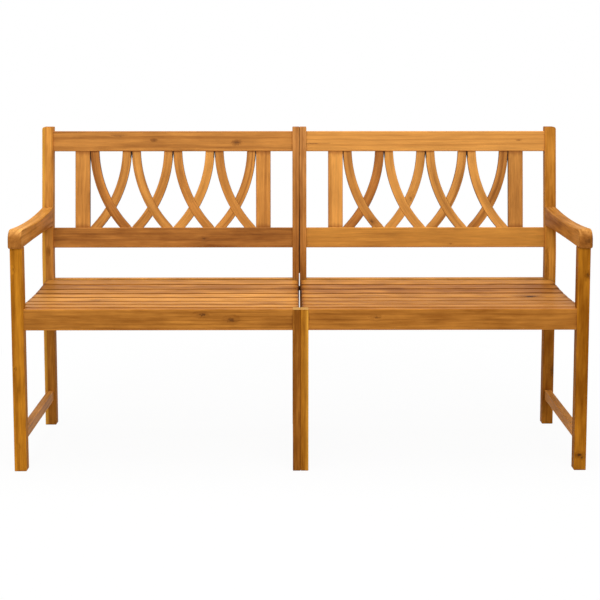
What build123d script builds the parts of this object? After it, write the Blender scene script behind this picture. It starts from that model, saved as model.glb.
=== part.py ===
from build123d import *
from dataclasses import dataclass
from math import cos, radians, sin, tan
import os

# Two-part garden bench in solid wood. Millimetres: X runs along the bench, Y from front to back,
# Z up, with the origin on the floor under the middle of the bench.
# The right half is modelled, and the left half is its mirror image.

# Plan of one half
BAY = 734.0               # clear length between the inner and the outer legs
LEG_SPAN = 476.0          # front face of the front legs to front face of the rear posts
HALF_JOINT = 0.1          # gap between the two halves where they are bolted together

# Legs and posts
LEG_WIDTH = 33.5          # outer legs and posts, along X
INNER_LEG_WIDTH = 21.5    # inner legs and posts, along X
LEG_DEPTH = 36.0          # front legs, along Y
POST_DEPTH = 36.0         # rear posts, along Y
POST_PROUD = 12.0         # posts above the top rail
BEND_RISE = 78.5          # back edge of the seat up to the bend of the rear posts
BEND_RADIUS = 400.0
LEAN = 6.5                # degrees that the back leans
RELIEF_RISE = 19.0        # back edge of the seat up to where the inner posts get thinner
RELIEF_DEPTH = 1.2        # wood planed off the inner posts below that

# Seat rails, centred in the depth of their legs
SEAT_HEIGHT = 451.5       # top of the front rail
FRONT_RAIL_HEIGHT = 58.0
FRONT_RAIL_THICKNESS = 28.0
REAR_RAIL_THICKNESS = 24.0
REAR_RAIL_DROP = -1.5     # back edge of the seat down to the top of the rear rail, which stands above it

# Seat slats, on a dished line
SEAT_SLATS = 7
SEAT_SLAT_THICKNESS = 18.0
SEAT_SLAT_GAP = 8.25
SEAT_SLAT_PLAY = 4.25     # between the seat and the legs in front of it and behind it
SEAT_RISE = 5.0           # back edge of the seat above its front edge
SEAT_DIP = 8.5            # depth of the dish below the straight line from front to back
SLAT_INSET = 5.0          # slat ends to the joint between the halves
SLAT_END_INSET = 4.0      # slat ends to the outer face of the outer side rail
OUTER_SIDE_RAIL = 18.0    # thickness of the outer side rail

# Lower stretchers
STRETCHER_BOTTOM = 77.0
STRETCHER_HEIGHT = 31.0
OUTER_STRETCHER = 20.0    # thickness of the outer stretcher

# Armrests
ARM_RISE = 85.0           # bend of the rear posts up to the underside of the armrest
ARM_HEIGHT = 53.5
ARM_BACK_RISE = 5.0       # top of the armrest's rear end above its nose
ARM_DIP = 10.0            # hollow along the top
ARM_ARCH = 2.0            # hollow along the underside
ARM_NOSE = 10.0           # overhang in front of the front legs
ARM_SIDE = 3.0            # overhang outside the front legs
ARM_NOSE_ROUND = 30.0
ARM_CHIN_ROUND = 7.0

# Back rails, measured up the leaning face of the posts from the bend
LOWER_RAIL_RISE = 20.0
BACK_RAIL_HEIGHT = 61.5
BACK_RAIL_THICKNESS = 22.0
BACK_OPENING = 235.0      # clear height between the two back rails

# Back slats and lattice
BACK_SLAT_INSET = 67.0    # post to straight slat
BACK_SLAT_WIDTH = 45.0
BACK_SLAT_THICKNESS = 18.0
CROSSES = 4
BENT_SLAT_WIDTH = 27.5
BENT_SLAT_THICKNESS = 15.0
BENT_SLAT_FOOT = 17.5     # middle of a bent slat's foot to the edge of its cross
BENT_SLAT_PLAY = 0.1      # bent slat to the edge of its cross

# Joints
TENON = 10.0              # length of the stub tenons of rails and back slats
TENON_THICKNESS = 10.0
TENON_SHOULDER = 6.0
TENON_WALL = 3.0          # wood between the tenons that meet in a leg
TENON_PLAY = 0.2          # round a tenon in its mortise
TENON_END_PLAY = 0.6      # beyond the end of a tenon
SLAT_SHOULDER = 2.5       # back slats
SLAT_TENON_THICKNESS = 8.0
ARM_TENON_WIDTH = 15.0
ARM_TENON_DEPTH = 20.0
ARM_TENON_RISE = 22.0
LAP_PLAY = 0.1            # each side of a half-lap

# Rounded edges
EASE = 2.5                # legs, posts and rails
POST_TOP_ROUND = 7.0      # outer top corner of the outer posts
SLAT_EASE = 2.0           # back slats, and the underside of the seat slats
SEAT_SLAT_EASE = 3.0      # tops and corners of the seat slats
END_EASE = 1.0            # tops of the inner front legs
ARM_EASE = 4.0
FOOT_CHAMFER = 1.0

# Fasteners
BOLT_RADIUS = 3.0
BOLT_PLAY = 0.3
BOLT_HEAD_RADIUS = 6.0
BOLT_HEAD_HEIGHT = 4.5
BOLT_HEAD_ROUND = 0.5
BOLT_HEAD_RECESS = 6.0
BOLT_TAIL = 9.0           # length beyond the barrel nut's axis
SOCKET_RADIUS = 2.9
SOCKET_DEPTH = 2.5
NUT_SETBACK = 24.0        # joint face to barrel nut
NUT_RADIUS = 5.0
NUT_LENGTH = 15.0
NUT_PLAY = 0.2
SPACER_RADIUS = 7.0
SCREW_RADIUS = 2.0
SCREW_HEAD_RADIUS = 4.0
SCREW_HEAD_HEIGHT = 2.5
SCREW_COVER = 10.0        # screw head up from the underside of the side rail, where it is thinnest
SCREW_BITE = 12.0         # length in the seat slat
SCREW_TIP = 4.0
SCREW_PLAY = 0.2

# Heights
seat_back = SEAT_HEIGHT + SEAT_RISE
seat_rail_bottom = SEAT_HEIGHT - FRONT_RAIL_HEIGHT
bend_height = seat_back + BEND_RISE
arm_bottom = bend_height + ARM_RISE
arm_top = arm_bottom + ARM_HEIGHT
arm_back_rise = ARM_RISE + ARM_BACK_RISE
lean = radians(LEAN)
post_length = LOWER_RAIL_RISE + 2 * BACK_RAIL_HEIGHT + BACK_OPENING + POST_PROUD
post_height = bend_height + post_length * cos(lean)

# Places along X, for the right half
x_joint = HALF_JOINT / 2
x_inner = x_joint + INNER_LEG_WIDTH
x_outer = x_inner + BAY
x_end = x_outer + LEG_WIDTH
leg_middle = (x_outer + x_end) / 2
inner_side = (x_joint + SLAT_INSET, x_inner)
outer_side = (leg_middle - OUTER_SIDE_RAIL / 2, leg_middle + OUTER_SIDE_RAIL / 2)
slat_ends = (inner_side[0], outer_side[1] - SLAT_END_INSET)
outer_stretcher = (leg_middle - OUTER_STRETCHER / 2, leg_middle + OUTER_STRETCHER / 2)

# Places along Y
back_reach = (post_height - bend_height) * tan(lean) + POST_DEPTH / cos(lean)
y_nose = -(ARM_NOSE + LEG_SPAN + back_reach) / 2
y_leg = y_nose + ARM_NOSE
y_leg_back = y_leg + LEG_DEPTH
y_post = y_leg + LEG_SPAN

# Working planes: X along the bench, Y up the face, Z towards the front
FRONT = Plane((0, y_leg, 0), x_dir=(1, 0, 0), z_dir=(0, -1, 0))
REAR = Plane((0, y_post, 0), x_dir=(1, 0, 0), z_dir=(0, -1, 0))
BACK = Plane((0, y_post, bend_height), x_dir=(1, 0, 0), z_dir=(0, -cos(lean), sin(lean)))


def block(x, y, z):
    """A box between three pairs of coordinates."""
    middle = Pos((x[0] + x[1]) / 2, (y[0] + y[1]) / 2, (z[0] + z[1]) / 2)
    return middle * Box(x[1] - x[0], y[1] - y[0], z[1] - z[0])


def about(centre, size):
    """The pair of coordinates that lies evenly about a centre."""
    return (centre - size / 2, centre + size / 2)


def grown(pair, by):
    """A pair of coordinates, pushed apart."""
    return (pair[0] - by, pair[1] + by)


def rod(start, end, radius):
    """A round bar between two points."""
    axis = Vector(*end) - Vector(*start)
    return Plane(start, z_dir=axis) * extrude(Circle(radius), axis.length)


def eased(shape, axis, radius):
    """A box with its long edges rounded."""
    return fillet(shape.edges().filter_by(axis), radius)


def cut(shape, tools):
    """A piece with every tool taken out of it."""
    for tool in tools:
        shape = shape - tool
    return shape


@dataclass
class Rail:
    """A rail between the inner and outer leg of one half, centred in the depth of its legs."""
    plane: Plane
    bottom: float
    height: float
    thickness: float
    leg_depth: float

    def middle(self):
        """Height and depth of the line along the middle of the rail."""
        return (self.bottom + self.height / 2, -self.leg_depth / 2)

    def tenons(self, play=0.0, end_play=0.0):
        """The bar whose two ends are the rail's tenons, or the mortises for them."""
        up, deep = self.middle()
        x = grown((x_inner, x_outer), TENON + end_play)
        y = about(up, self.height - 2 * TENON_SHOULDER + 2 * play)
        return block(x, y, about(deep, TENON_THICKNESS + 2 * play))

    def mortises(self):
        return self.plane * self.tenons(TENON_PLAY, TENON_END_PLAY)

    def nuts(self):
        """Where the two barrel nuts sit along the rail."""
        return (x_inner + NUT_SETBACK, x_outer - NUT_SETBACK)

    def holes(self):
        """Bolt hole along each end of the rail, and a barrel nut hole from its back."""
        up, deep = self.middle()
        ends = grown((x_inner, x_outer), TENON)
        tools = []
        for end, nut, inward in zip(ends, self.nuts(), (1, -1)):
            stop = nut + inward * (BOLT_TAIL + BOLT_PLAY)
            tools.append(rod((end, up, deep), (stop, up, deep), BOLT_RADIUS + BOLT_PLAY))
            back = (nut, up, deep - self.thickness / 2)
            tools.append(rod(back, (nut, up, deep + NUT_LENGTH / 2), NUT_RADIUS + NUT_PLAY))
        return tools

    def solid(self, extra_holes=()):
        """The rail, in its working plane."""
        up, deep = self.middle()
        body = block((x_inner, x_outer), about(up, self.height), about(deep, self.thickness))
        body = eased(body, Axis.X, EASE) + self.tenons()
        return cut(body, [*self.holes(), *extra_holes])


rear_rail_height = seat_back - REAR_RAIL_DROP - seat_rail_bottom
opening = (LOWER_RAIL_RISE + BACK_RAIL_HEIGHT, LOWER_RAIL_RISE + BACK_RAIL_HEIGHT + BACK_OPENING)
front_rail = Rail(FRONT, seat_rail_bottom, FRONT_RAIL_HEIGHT, FRONT_RAIL_THICKNESS, LEG_DEPTH)
rear_rail = Rail(REAR, seat_rail_bottom, rear_rail_height, REAR_RAIL_THICKNESS, POST_DEPTH)
lower_rail = Rail(BACK, LOWER_RAIL_RISE, BACK_RAIL_HEIGHT, BACK_RAIL_THICKNESS, POST_DEPTH)
top_rail = Rail(BACK, opening[1], BACK_RAIL_HEIGHT, BACK_RAIL_THICKNESS, POST_DEPTH)
rails = (front_rail, rear_rail, lower_rail, top_rail)
post_rails = (rear_rail, lower_rail, top_rail)
back_middle = lower_rail.middle()[1]


# Seat: the dished line of slat tops, then the flat seats that carry the slats
front_rail_back = y_leg + (LEG_DEPTH + FRONT_RAIL_THICKNESS) / 2
seat_start = max(y_leg_back, front_rail_back) + SEAT_SLAT_PLAY - SEAT_SLAT_GAP / 2
seat_end = y_post - SEAT_SLAT_PLAY + SEAT_SLAT_GAP / 2
seat_pitch = (seat_end - seat_start) / SEAT_SLATS


def seat_height(y):
    """Height of the sitting surface at a depth."""
    share = (y - seat_start) / (seat_end - seat_start)
    return SEAT_HEIGHT + SEAT_RISE * share - 4 * SEAT_DIP * share * (1 - share)


def seat_corner(index):
    """Corner of the side rail's top between two slats."""
    y = seat_start + index * seat_pitch
    return (y, seat_height(y) - SEAT_SLAT_THICKNESS)


def seat_line(index, y):
    """Height of one slat's seat, carried on along its slope to any depth."""
    (y0, z0), (y1, z1) = seat_corner(index), seat_corner(index + 1)
    return z0 + (z1 - z0) * (y - y0) / (y1 - y0)


def slat_plane(index):
    """Plane of one slat's underside: X along the slat, Y across it, Z up."""
    (y0, z0), (y1, z1) = seat_corner(index), seat_corner(index + 1)
    return Plane((0, (y0 + y1) / 2, (z0 + z1) / 2), x_dir=(1, 0, 0), z_dir=(0, z0 - z1, y1 - y0))


side_rail_low = min(seat_corner(i)[1] for i in range(SEAT_SLATS + 1))
screw_reach = side_rail_low - seat_rail_bottom - SCREW_COVER
inner_screw = sum(inner_side) / 2
outer_screw = (outer_side[0] + slat_ends[1]) / 2
screw_places = (inner_screw, outer_screw)


def seat_slat(index):
    """One seat slat, with pilot holes for its screws."""
    body = block(slat_ends, about(0, seat_pitch - SEAT_SLAT_GAP), (0, SEAT_SLAT_THICKNESS))
    under = body.faces().sort_by(Axis.Z)[0].edges()
    body = fillet([edge for edge in body.edges() if edge not in under], SEAT_SLAT_EASE)
    body = fillet(body.faces().sort_by(Axis.Z)[0].edges(), SLAT_EASE)
    depth = SCREW_BITE + SCREW_PLAY
    pilots = [rod((x, 0, 0), (x, 0, depth), SCREW_RADIUS + SCREW_PLAY) for x in screw_places]
    return slat_plane(index) * cut(body, pilots)


def screw(x):
    """A slat screw in its slat's plane, driven upwards."""
    seat = -screw_reach
    outline = Polyline(
        (0, seat - SCREW_HEAD_HEIGHT),
        (SCREW_HEAD_RADIUS, seat - SCREW_HEAD_HEIGHT),
        (SCREW_HEAD_RADIUS, seat),
        (SCREW_RADIUS, seat),
        (SCREW_RADIUS, SCREW_BITE - SCREW_TIP),
        (0, SCREW_BITE),
        close=True,
    )
    return Pos(x, 0, 0) * revolve(Plane.XZ * make_face(outline), Axis.Z)


def slat_screws():
    """Every screw of one half: two in each seat slat."""
    return [slat_plane(i) * screw(x) for i in range(SEAT_SLATS) for x in screw_places]


def side_span(end_play):
    """From tenon end to tenon end of what runs between a front leg and a rear post."""
    front = (LEG_DEPTH - TENON_THICKNESS) / 2 - TENON_WALL
    rear = (POST_DEPTH - TENON_THICKNESS) / 2 - TENON_WALL
    return (y_leg_back - front - end_play, y_post + rear + end_play)


def side_tenons(x, play=0.0, end_play=0.0):
    """The bar whose two ends are a side rail's tenons, or the mortises for them."""
    z = grown((seat_rail_bottom, side_rail_low), play - TENON_SHOULDER)
    return block(about(sum(x) / 2, TENON_THICKNESS + 2 * play), side_span(end_play), z)


def side_rail(x, screw_place):
    """A side rail: its top has a flat seat for each slat, with a screw hole from below."""
    outline = Polyline(
        (y_leg_back, seat_rail_bottom),
        (y_leg_back, seat_line(0, y_leg_back)),
        *[seat_corner(i) for i in range(1, SEAT_SLATS)],
        (y_post, seat_line(SEAT_SLATS - 1, y_post)),
        (y_post, seat_rail_bottom),
        close=True,
    )
    body = Pos(x[0], 0, 0) * extrude(Plane.YZ * make_face(outline), x[1] - x[0])
    body = body + side_tenons(x)
    below = (screw_place, 0, seat_rail_bottom - seat_back)
    tools = []
    for plane in map(slat_plane, range(SEAT_SLATS)):
        tools.append(plane * rod(below, (screw_place, 0, 0), SCREW_RADIUS + SCREW_PLAY))
        head_seat = (screw_place, 0, -screw_reach)
        tools.append(plane * rod(below, head_seat, SCREW_HEAD_RADIUS + SCREW_PLAY))
    return cut(body, tools)


def stretcher_tenons(x, play=0.0, end_play=0.0):
    """The bar whose two ends are a stretcher's tenons, or the mortises for them."""
    z = grown((STRETCHER_BOTTOM, STRETCHER_BOTTOM + STRETCHER_HEIGHT), play - TENON_SHOULDER)
    return block(about(sum(x) / 2, TENON_THICKNESS + 2 * play), side_span(end_play), z)


def stretcher(x):
    """A lower stretcher between a front leg and a rear post."""
    z = (STRETCHER_BOTTOM, STRETCHER_BOTTOM + STRETCHER_HEIGHT)
    body = block(x, (y_leg_back, y_post), z)
    return eased(body, Axis.Y, EASE) + stretcher_tenons(x)


def side_mortises(side, low):
    """Mortises for a side rail and for the stretcher below it."""
    return [
        side_tenons(side, TENON_PLAY, TENON_END_PLAY),
        stretcher_tenons(low, TENON_PLAY, TENON_END_PLAY),
    ]


def bolt_holes(rail):
    """Hole through an outer leg for a rail's bolt, with a recess for its head."""
    up, deep = rail.middle()
    hole = rod((x_outer, up, deep), (x_end, up, deep), BOLT_RADIUS + BOLT_PLAY)
    seat = (x_end - BOLT_HEAD_RECESS, up, deep)
    return [rail.plane * hole, rail.plane * rod(seat, (x_end, up, deep), BOLT_HEAD_RADIUS + BOLT_PLAY)]


def stud_hole(rail):
    """Hole through an inner leg for the stud that joins the two halves."""
    up, deep = rail.middle()
    return rail.plane * rod((0, up, deep), (x_inner, up, deep), BOLT_RADIUS + BOLT_PLAY)


def upright(x, height):
    """A square front leg with rounded edges."""
    leg = eased(block(x, (y_leg, y_leg_back), (0, height)), Axis.Z, EASE)
    return chamfer(leg.faces().sort_by(Axis.Z)[0].edges(), FOOT_CHAMFER)


def arm_tenon(play=0.0, end_play=0.0):
    """The tenon on top of the outer front leg, or the mortise for it in the armrest."""
    x = about(leg_middle, ARM_TENON_WIDTH + 2 * play)
    y = about((y_leg + y_leg_back) / 2, ARM_TENON_DEPTH + 2 * play)
    return block(x, y, (arm_bottom - TENON, arm_bottom + ARM_TENON_RISE + end_play))


def outer_front_leg():
    leg = upright((x_outer, x_end), arm_bottom) + arm_tenon()
    tools = [front_rail.mortises(), *side_mortises(outer_side, outer_stretcher)]
    return cut(leg, [*tools, *bolt_holes(front_rail)])


def inner_front_leg():
    leg = upright((x_joint, x_inner), SEAT_HEIGHT)
    leg = fillet(leg.faces().sort_by(Axis.Z)[-1].edges(), END_EASE)
    tools = [front_rail.mortises(), *side_mortises(inner_side, inner_side)]
    return cut(leg, [*tools, stud_hole(front_rail)])


def post_blank(x, round_top):
    """A rear post: upright below, leaning back above, with a soft bend between.
    Its outer top corner can have a larger rounding."""
    front_bend = (y_post, bend_height)
    back_bend = (y_post + POST_DEPTH, bend_height - POST_DEPTH * tan(lean / 2))
    outline = make_face(Polyline(
        (y_post, 0),
        front_bend,
        (y_post + (post_height - bend_height) * tan(lean), post_height),
        (y_post + back_reach, post_height),
        back_bend,
        (y_post + POST_DEPTH, 0),
        close=True,
    ))
    outline = fillet(outline.vertices().sort_by_distance(front_bend)[0], BEND_RADIUS + POST_DEPTH)
    outline = fillet(outline.vertices().sort_by_distance(back_bend)[0], BEND_RADIUS)
    post = Pos(x[0], 0, 0) * extrude(Plane.YZ * outline, x[1] - x[0])
    if round_top:
        top = post.faces().sort_by(Axis.Z)[-1]
        post = fillet(top.edges().filter_by(Axis.Y).sort_by(Axis.X)[-1], POST_TOP_ROUND)
    top = post.faces().sort_by(Axis.Z)[-1]
    inner_face, *_, outer_face = post.faces().sort_by(Axis.X)
    seam = outer_face.edges().filter_by(Axis.Y) if round_top else []
    sides = inner_face.edges() + outer_face.edges()
    rounded = [edge for edge in sides if edge not in seam and edge.center().Z > FOOT_CHAMFER]
    post = fillet(rounded + top.edges().filter_by(Axis.X), EASE)
    return chamfer(post.faces().sort_by(Axis.Z)[0].edges(), FOOT_CHAMFER)


def arm_bolt_line():
    """Height up the back plane of the bolt that holds the armrest to the post."""
    return (arm_back_rise + ARM_HEIGHT / 2) / cos(lean)


def outer_rear_post():
    post = post_blank((x_outer, x_end), True)
    tools = side_mortises(outer_side, outer_stretcher)
    for rail in post_rails:
        tools += [rail.mortises(), *bolt_holes(rail)]
    up = arm_bolt_line()
    back = (leg_middle, up, -POST_DEPTH)
    tools.append(BACK * rod(back, (leg_middle, up, 0), BOLT_RADIUS + BOLT_PLAY))
    seat = (leg_middle, up, BOLT_HEAD_RECESS - POST_DEPTH)
    tools.append(BACK * rod(back, seat, BOLT_HEAD_RADIUS + BOLT_PLAY))
    return cut(post, tools)


def inner_rear_post():
    post = post_blank((x_joint, x_inner), False)
    tools = side_mortises(inner_side, inner_side)
    for rail in post_rails:
        tools += [rail.mortises(), stud_hole(rail)]
    relief = (x_joint, x_joint + RELIEF_DEPTH)
    tools.append(block(relief, (y_post, y_post + POST_DEPTH), (0, seat_back + RELIEF_RISE)))
    return cut(post, tools)


def armrest():
    """An armrest: hollowed above and below, with a rounded nose and a rear end cut to the lean."""
    rear_low = (y_post + ARM_RISE * tan(lean), arm_bottom)
    rear_top = (y_post + (arm_back_rise + ARM_HEIGHT) * tan(lean), arm_top + ARM_BACK_RISE)
    nose = (y_nose, arm_top)
    chin = (y_nose, arm_bottom)
    hollow = ((y_nose + rear_top[0]) / 2, arm_top + ARM_BACK_RISE / 2 - ARM_DIP)
    arch = ((y_leg_back + rear_low[0]) / 2, arm_bottom + ARM_ARCH)
    outline = make_face([
        Line(chin, (y_leg_back, arm_bottom)),
        ThreePointArc((y_leg_back, arm_bottom), arch, rear_low),
        Line(rear_low, rear_top),
        ThreePointArc(rear_top, hollow, nose),
        Line(nose, chin),
    ])
    outline = fillet(outline.vertices().sort_by_distance(nose)[0], ARM_NOSE_ROUND)
    outline = fillet(outline.vertices().sort_by_distance(chin)[0], ARM_CHIN_ROUND)
    widest = x_end + ARM_SIDE
    body = Pos(x_outer, 0, 0) * extrude(Plane.YZ * outline, widest - x_outer)
    plan = make_face(Polyline(
        (x_outer, y_nose), (widest, y_nose), (x_end, rear_top[0]), (x_outer, rear_top[0]), close=True,
    ))
    body = body & Pos(0, 0, arm_bottom) * extrude(plan, ARM_HEIGHT + ARM_BACK_RISE)
    inner_face, *_, outer_face = body.faces().sort_by(Axis.X)
    side_edges = inner_face.edges() + outer_face.edges()
    body = fillet([edge for edge in side_edges if edge.center().Y < rear_low[0]], ARM_EASE)
    return cut(body, [arm_tenon(TENON_PLAY, TENON_END_PLAY), *arm_bolt_holes()])


def arm_bolt_holes():
    """Hole for the arm bolt, and one from below for its barrel nut."""
    up = arm_bolt_line()
    stop = NUT_SETBACK + BOLT_TAIL + BOLT_PLAY
    hole = BACK * rod((leg_middle, up, 0), (leg_middle, up, stop), BOLT_RADIUS + BOLT_PLAY)
    low = (leg_middle, up - ARM_HEIGHT, NUT_SETBACK)
    high = (leg_middle, up + NUT_LENGTH / 2, NUT_SETBACK)
    return [hole, BACK * rod(low, high, NUT_RADIUS + NUT_PLAY)]


# Back panel, in the leaning plane
lattice = (x_inner + BACK_SLAT_INSET + BACK_SLAT_WIDTH, x_outer - BACK_SLAT_INSET - BACK_SLAT_WIDTH)
cross_pitch = (lattice[1] - lattice[0]) / CROSSES
cross_centres = [lattice[0] + (i + 0.5) * cross_pitch for i in range(CROSSES)]
bent_start = cross_pitch / 2 - BENT_SLAT_PLAY - BENT_SLAT_WIDTH / 2
bent_sweep = bent_start + cross_pitch / 2 - BENT_SLAT_FOOT
bent_drop = BACK_OPENING + TENON
bent_radius = (bent_drop**2 + bent_sweep**2) / (2 * bent_sweep)
straight_slats = (
    (x_inner + BACK_SLAT_INSET, lattice[0]),
    (lattice[1], x_outer - BACK_SLAT_INSET),
)


def straight_slat_tenons(x, play=0.0, end_play=0.0):
    """The bar whose two ends are a straight slat's tenons, or the mortises for them."""
    y = grown(opening, TENON + end_play)
    z = about(back_middle, SLAT_TENON_THICKNESS + 2 * play)
    return block(grown(x, play - SLAT_SHOULDER), y, z)


def straight_slat(x):
    body = block(x, opening, about(back_middle, BACK_SLAT_THICKNESS))
    return eased(body, Axis.Y, SLAT_EASE) + straight_slat_tenons(x)


def bent_strip(centre, way, width, reach, z, edge_play):
    """A strip along the arc of a bent slat: way 1 moves right as it goes down, way -1 left."""
    hub = Pos(centre + way * (bent_radius - bent_start), opening[1] + TENON)
    ring = hub * (Circle(bent_radius + width / 2) - Circle(bent_radius - width / 2))
    height = reach[1] - reach[0]
    window = Pos(centre, sum(reach) / 2) * Rectangle(cross_pitch - 2 * edge_play, height)
    return Pos(0, 0, z[0]) * extrude(ring & window, z[1] - z[0])


def bent_tenons(centre, way, play=0.0, end_play=0.0):
    """The strip whose two ends are a bent slat's tenons, or the mortises for them."""
    width = BENT_SLAT_WIDTH - 2 * SLAT_SHOULDER + 2 * play
    z = about(back_middle, SLAT_TENON_THICKNESS + 2 * play)
    return bent_strip(centre, way, width, grown(opening, TENON + end_play), z, SLAT_SHOULDER - play)


def bent_slat(centre, way, in_front):
    """One bent slat, with half its thickness taken out where its partner crosses it."""
    z = about(back_middle, BENT_SLAT_THICKNESS)
    body = bent_strip(centre, way, BENT_SLAT_WIDTH, opening, z, BENT_SLAT_PLAY)
    body = fillet(body.edges().filter_by(GeomType.CIRCLE), SLAT_EASE)
    body = body + bent_tenons(centre, way)
    if in_front:
        lap = (z[0], back_middle + LAP_PLAY)
    else:
        lap = (back_middle - LAP_PLAY, z[1])
    return body - bent_strip(centre, -way, BENT_SLAT_WIDTH + 2 * LAP_PLAY, opening, lap, BENT_SLAT_PLAY)


def lattice_cross(centre, right_in_front):
    """The two bent slats of one cross."""
    return [bent_slat(centre, 1, right_in_front), bent_slat(centre, -1, not right_in_front)]


def back_mortises():
    """Mortises in the back rails for every slat between them."""
    tools = [straight_slat_tenons(x, TENON_PLAY, TENON_END_PLAY) for x in straight_slats]
    for centre in cross_centres:
        tools += [bent_tenons(centre, way, TENON_PLAY, TENON_END_PLAY) for way in (1, -1)]
    return tools


# Fasteners
def bolt(length):
    """A bolt along X: its head ends at zero and its shank runs towards minus X."""
    shank = rod((-length, 0, 0), (0, 0, 0), BOLT_RADIUS)
    head = rod((0, 0, 0), (BOLT_HEAD_HEIGHT, 0, 0), BOLT_HEAD_RADIUS)
    head = fillet(head.faces().sort_by(Axis.X)[-1].edges(), BOLT_HEAD_ROUND)
    face = Plane((BOLT_HEAD_HEIGHT, 0, 0), z_dir=(-1, 0, 0))
    socket = face * extrude(RegularPolygon(SOCKET_RADIUS, 6), SOCKET_DEPTH)
    return shank + head - socket


def frame_bolts():
    """The bolts that hold the four rails of a half to its outer leg and post."""
    length = LEG_WIDTH - BOLT_HEAD_RECESS + NUT_SETBACK + BOLT_TAIL
    seat = x_end - BOLT_HEAD_RECESS
    return [rail.plane * Pos(seat, *rail.middle()) * bolt(length) for rail in rails]


def arm_bolts():
    """The bolt from the back of the post into the armrest."""
    length = POST_DEPTH - BOLT_HEAD_RECESS + NUT_SETBACK + BOLT_TAIL
    seat = Pos(leg_middle, arm_bolt_line(), BOLT_HEAD_RECESS - POST_DEPTH)
    return [BACK * seat * Rot(0, 90, 0) * bolt(length)]


def barrel_nut(along):
    """A barrel nut on the Z axis, with its bolt hole along X or along Y."""
    reach = Vector(NUT_RADIUS, 0, 0) if along == "x" else Vector(0, NUT_RADIUS, 0)
    return Cylinder(NUT_RADIUS, NUT_LENGTH) - rod(-reach, reach, BOLT_RADIUS + BOLT_PLAY)


def barrel_nuts():
    """The barrel nuts of one half: two in each rail and one in the armrest."""
    nuts = []
    for rail in rails:
        for x in rail.nuts():
            nuts.append(rail.plane * Pos(x, *rail.middle()) * barrel_nut("x"))
    seat = Pos(leg_middle, arm_bolt_line(), NUT_SETBACK)
    nuts.append(BACK * seat * Rot(90, 0, 0) * barrel_nut("y"))
    return nuts


def joining_studs():
    """The studs that run through both inner legs or posts, from nut to nut."""
    half = x_inner + NUT_SETBACK + BOLT_TAIL
    studs = []
    for rail in rails:
        up, deep = rail.middle()
        studs.append(rail.plane * rod((-half, up, deep), (half, up, deep), BOLT_RADIUS))
    return studs


def joining_spacer():
    """The washer that fills the relief between the inner posts, on the rear stud."""
    up, deep = rear_rail.middle()
    half = x_joint + RELIEF_DEPTH
    ends = ((-half, up, deep), (half, up, deep))
    return rear_rail.plane * (rod(*ends, SPACER_RADIUS) - rod(*ends, BOLT_RADIUS + BOLT_PLAY))


def half_bench():
    """Every wooden piece of the right half, by name."""
    pieces = {
        "outer_front_leg": outer_front_leg(),
        "outer_rear_post": outer_rear_post(),
        "inner_front_leg": inner_front_leg(),
        "inner_rear_post": inner_rear_post(),
        "front_seat_rail": FRONT * front_rail.solid(),
        "rear_seat_rail": REAR * rear_rail.solid(),
        "outer_side_rail": side_rail(outer_side, outer_screw),
        "inner_side_rail": side_rail(inner_side, inner_screw),
        "outer_stretcher": stretcher(outer_stretcher),
        "inner_stretcher": stretcher(inner_side),
        "armrest": armrest(),
        "back_top_rail": BACK * top_rail.solid(back_mortises()),
        "back_lower_rail": BACK * lower_rail.solid(back_mortises()),
        "inner_back_slat": BACK * straight_slat(straight_slats[0]),
        "outer_back_slat": BACK * straight_slat(straight_slats[1]),
    }
    for index in range(SEAT_SLATS):
        pieces[f"seat_slat_{index + 1}"] = seat_slat(index)
    return pieces


def mirrored(shape):
    return mirror(shape, about=Plane.YZ)


def save(name, solids):
    """Writes one sub-part, as one solid or as a group of separate solids."""
    group = [solid for shape in solids for solid in shape.solids()]
    shape = group[0] if len(group) == 1 else Compound(children=group)
    export_step(shape, f"parts/{name}.step")


os.makedirs("parts", exist_ok=True)
for name, piece in half_bench().items():
    save(f"{name}_right", [piece])
    save(f"{name}_left", [mirrored(piece)])
for index, centre in enumerate(cross_centres):
    save(f"lattice_cross_{index + 1}_right", [BACK * slat for slat in lattice_cross(centre, True)])
    slats = [mirrored(BACK * slat) for slat in lattice_cross(centre, False)]
    save(f"lattice_cross_{index + 1}_left", slats)
for name, pieces in (
    ("frame_bolts", frame_bolts()),
    ("arm_bolts", arm_bolts()),
    ("barrel_nuts", barrel_nuts()),
    ("slat_screws", slat_screws()),
):
    save(name, [*pieces, *[mirrored(piece) for piece in pieces]])
save("joining_studs", joining_studs())
save("joining_spacer", [joining_spacer()])
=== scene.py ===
# %% [markdown]
# # A garden bench in oiled acacia
# The bench is two half-benches that are bolted together in the middle. The solids come from a CAD
# model, which fixes every size. This lesson dresses them: boards with real grain, slats that are
# made by rules, screws and nuts, and a plain studio round it all.
# The frame is loaded first, because each piece is placed by the solids in it.

# %% Load the frame
from math import cos, pi, radians, sin, tan

import bpy
from mathutils import Euler, Matrix, Vector


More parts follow.
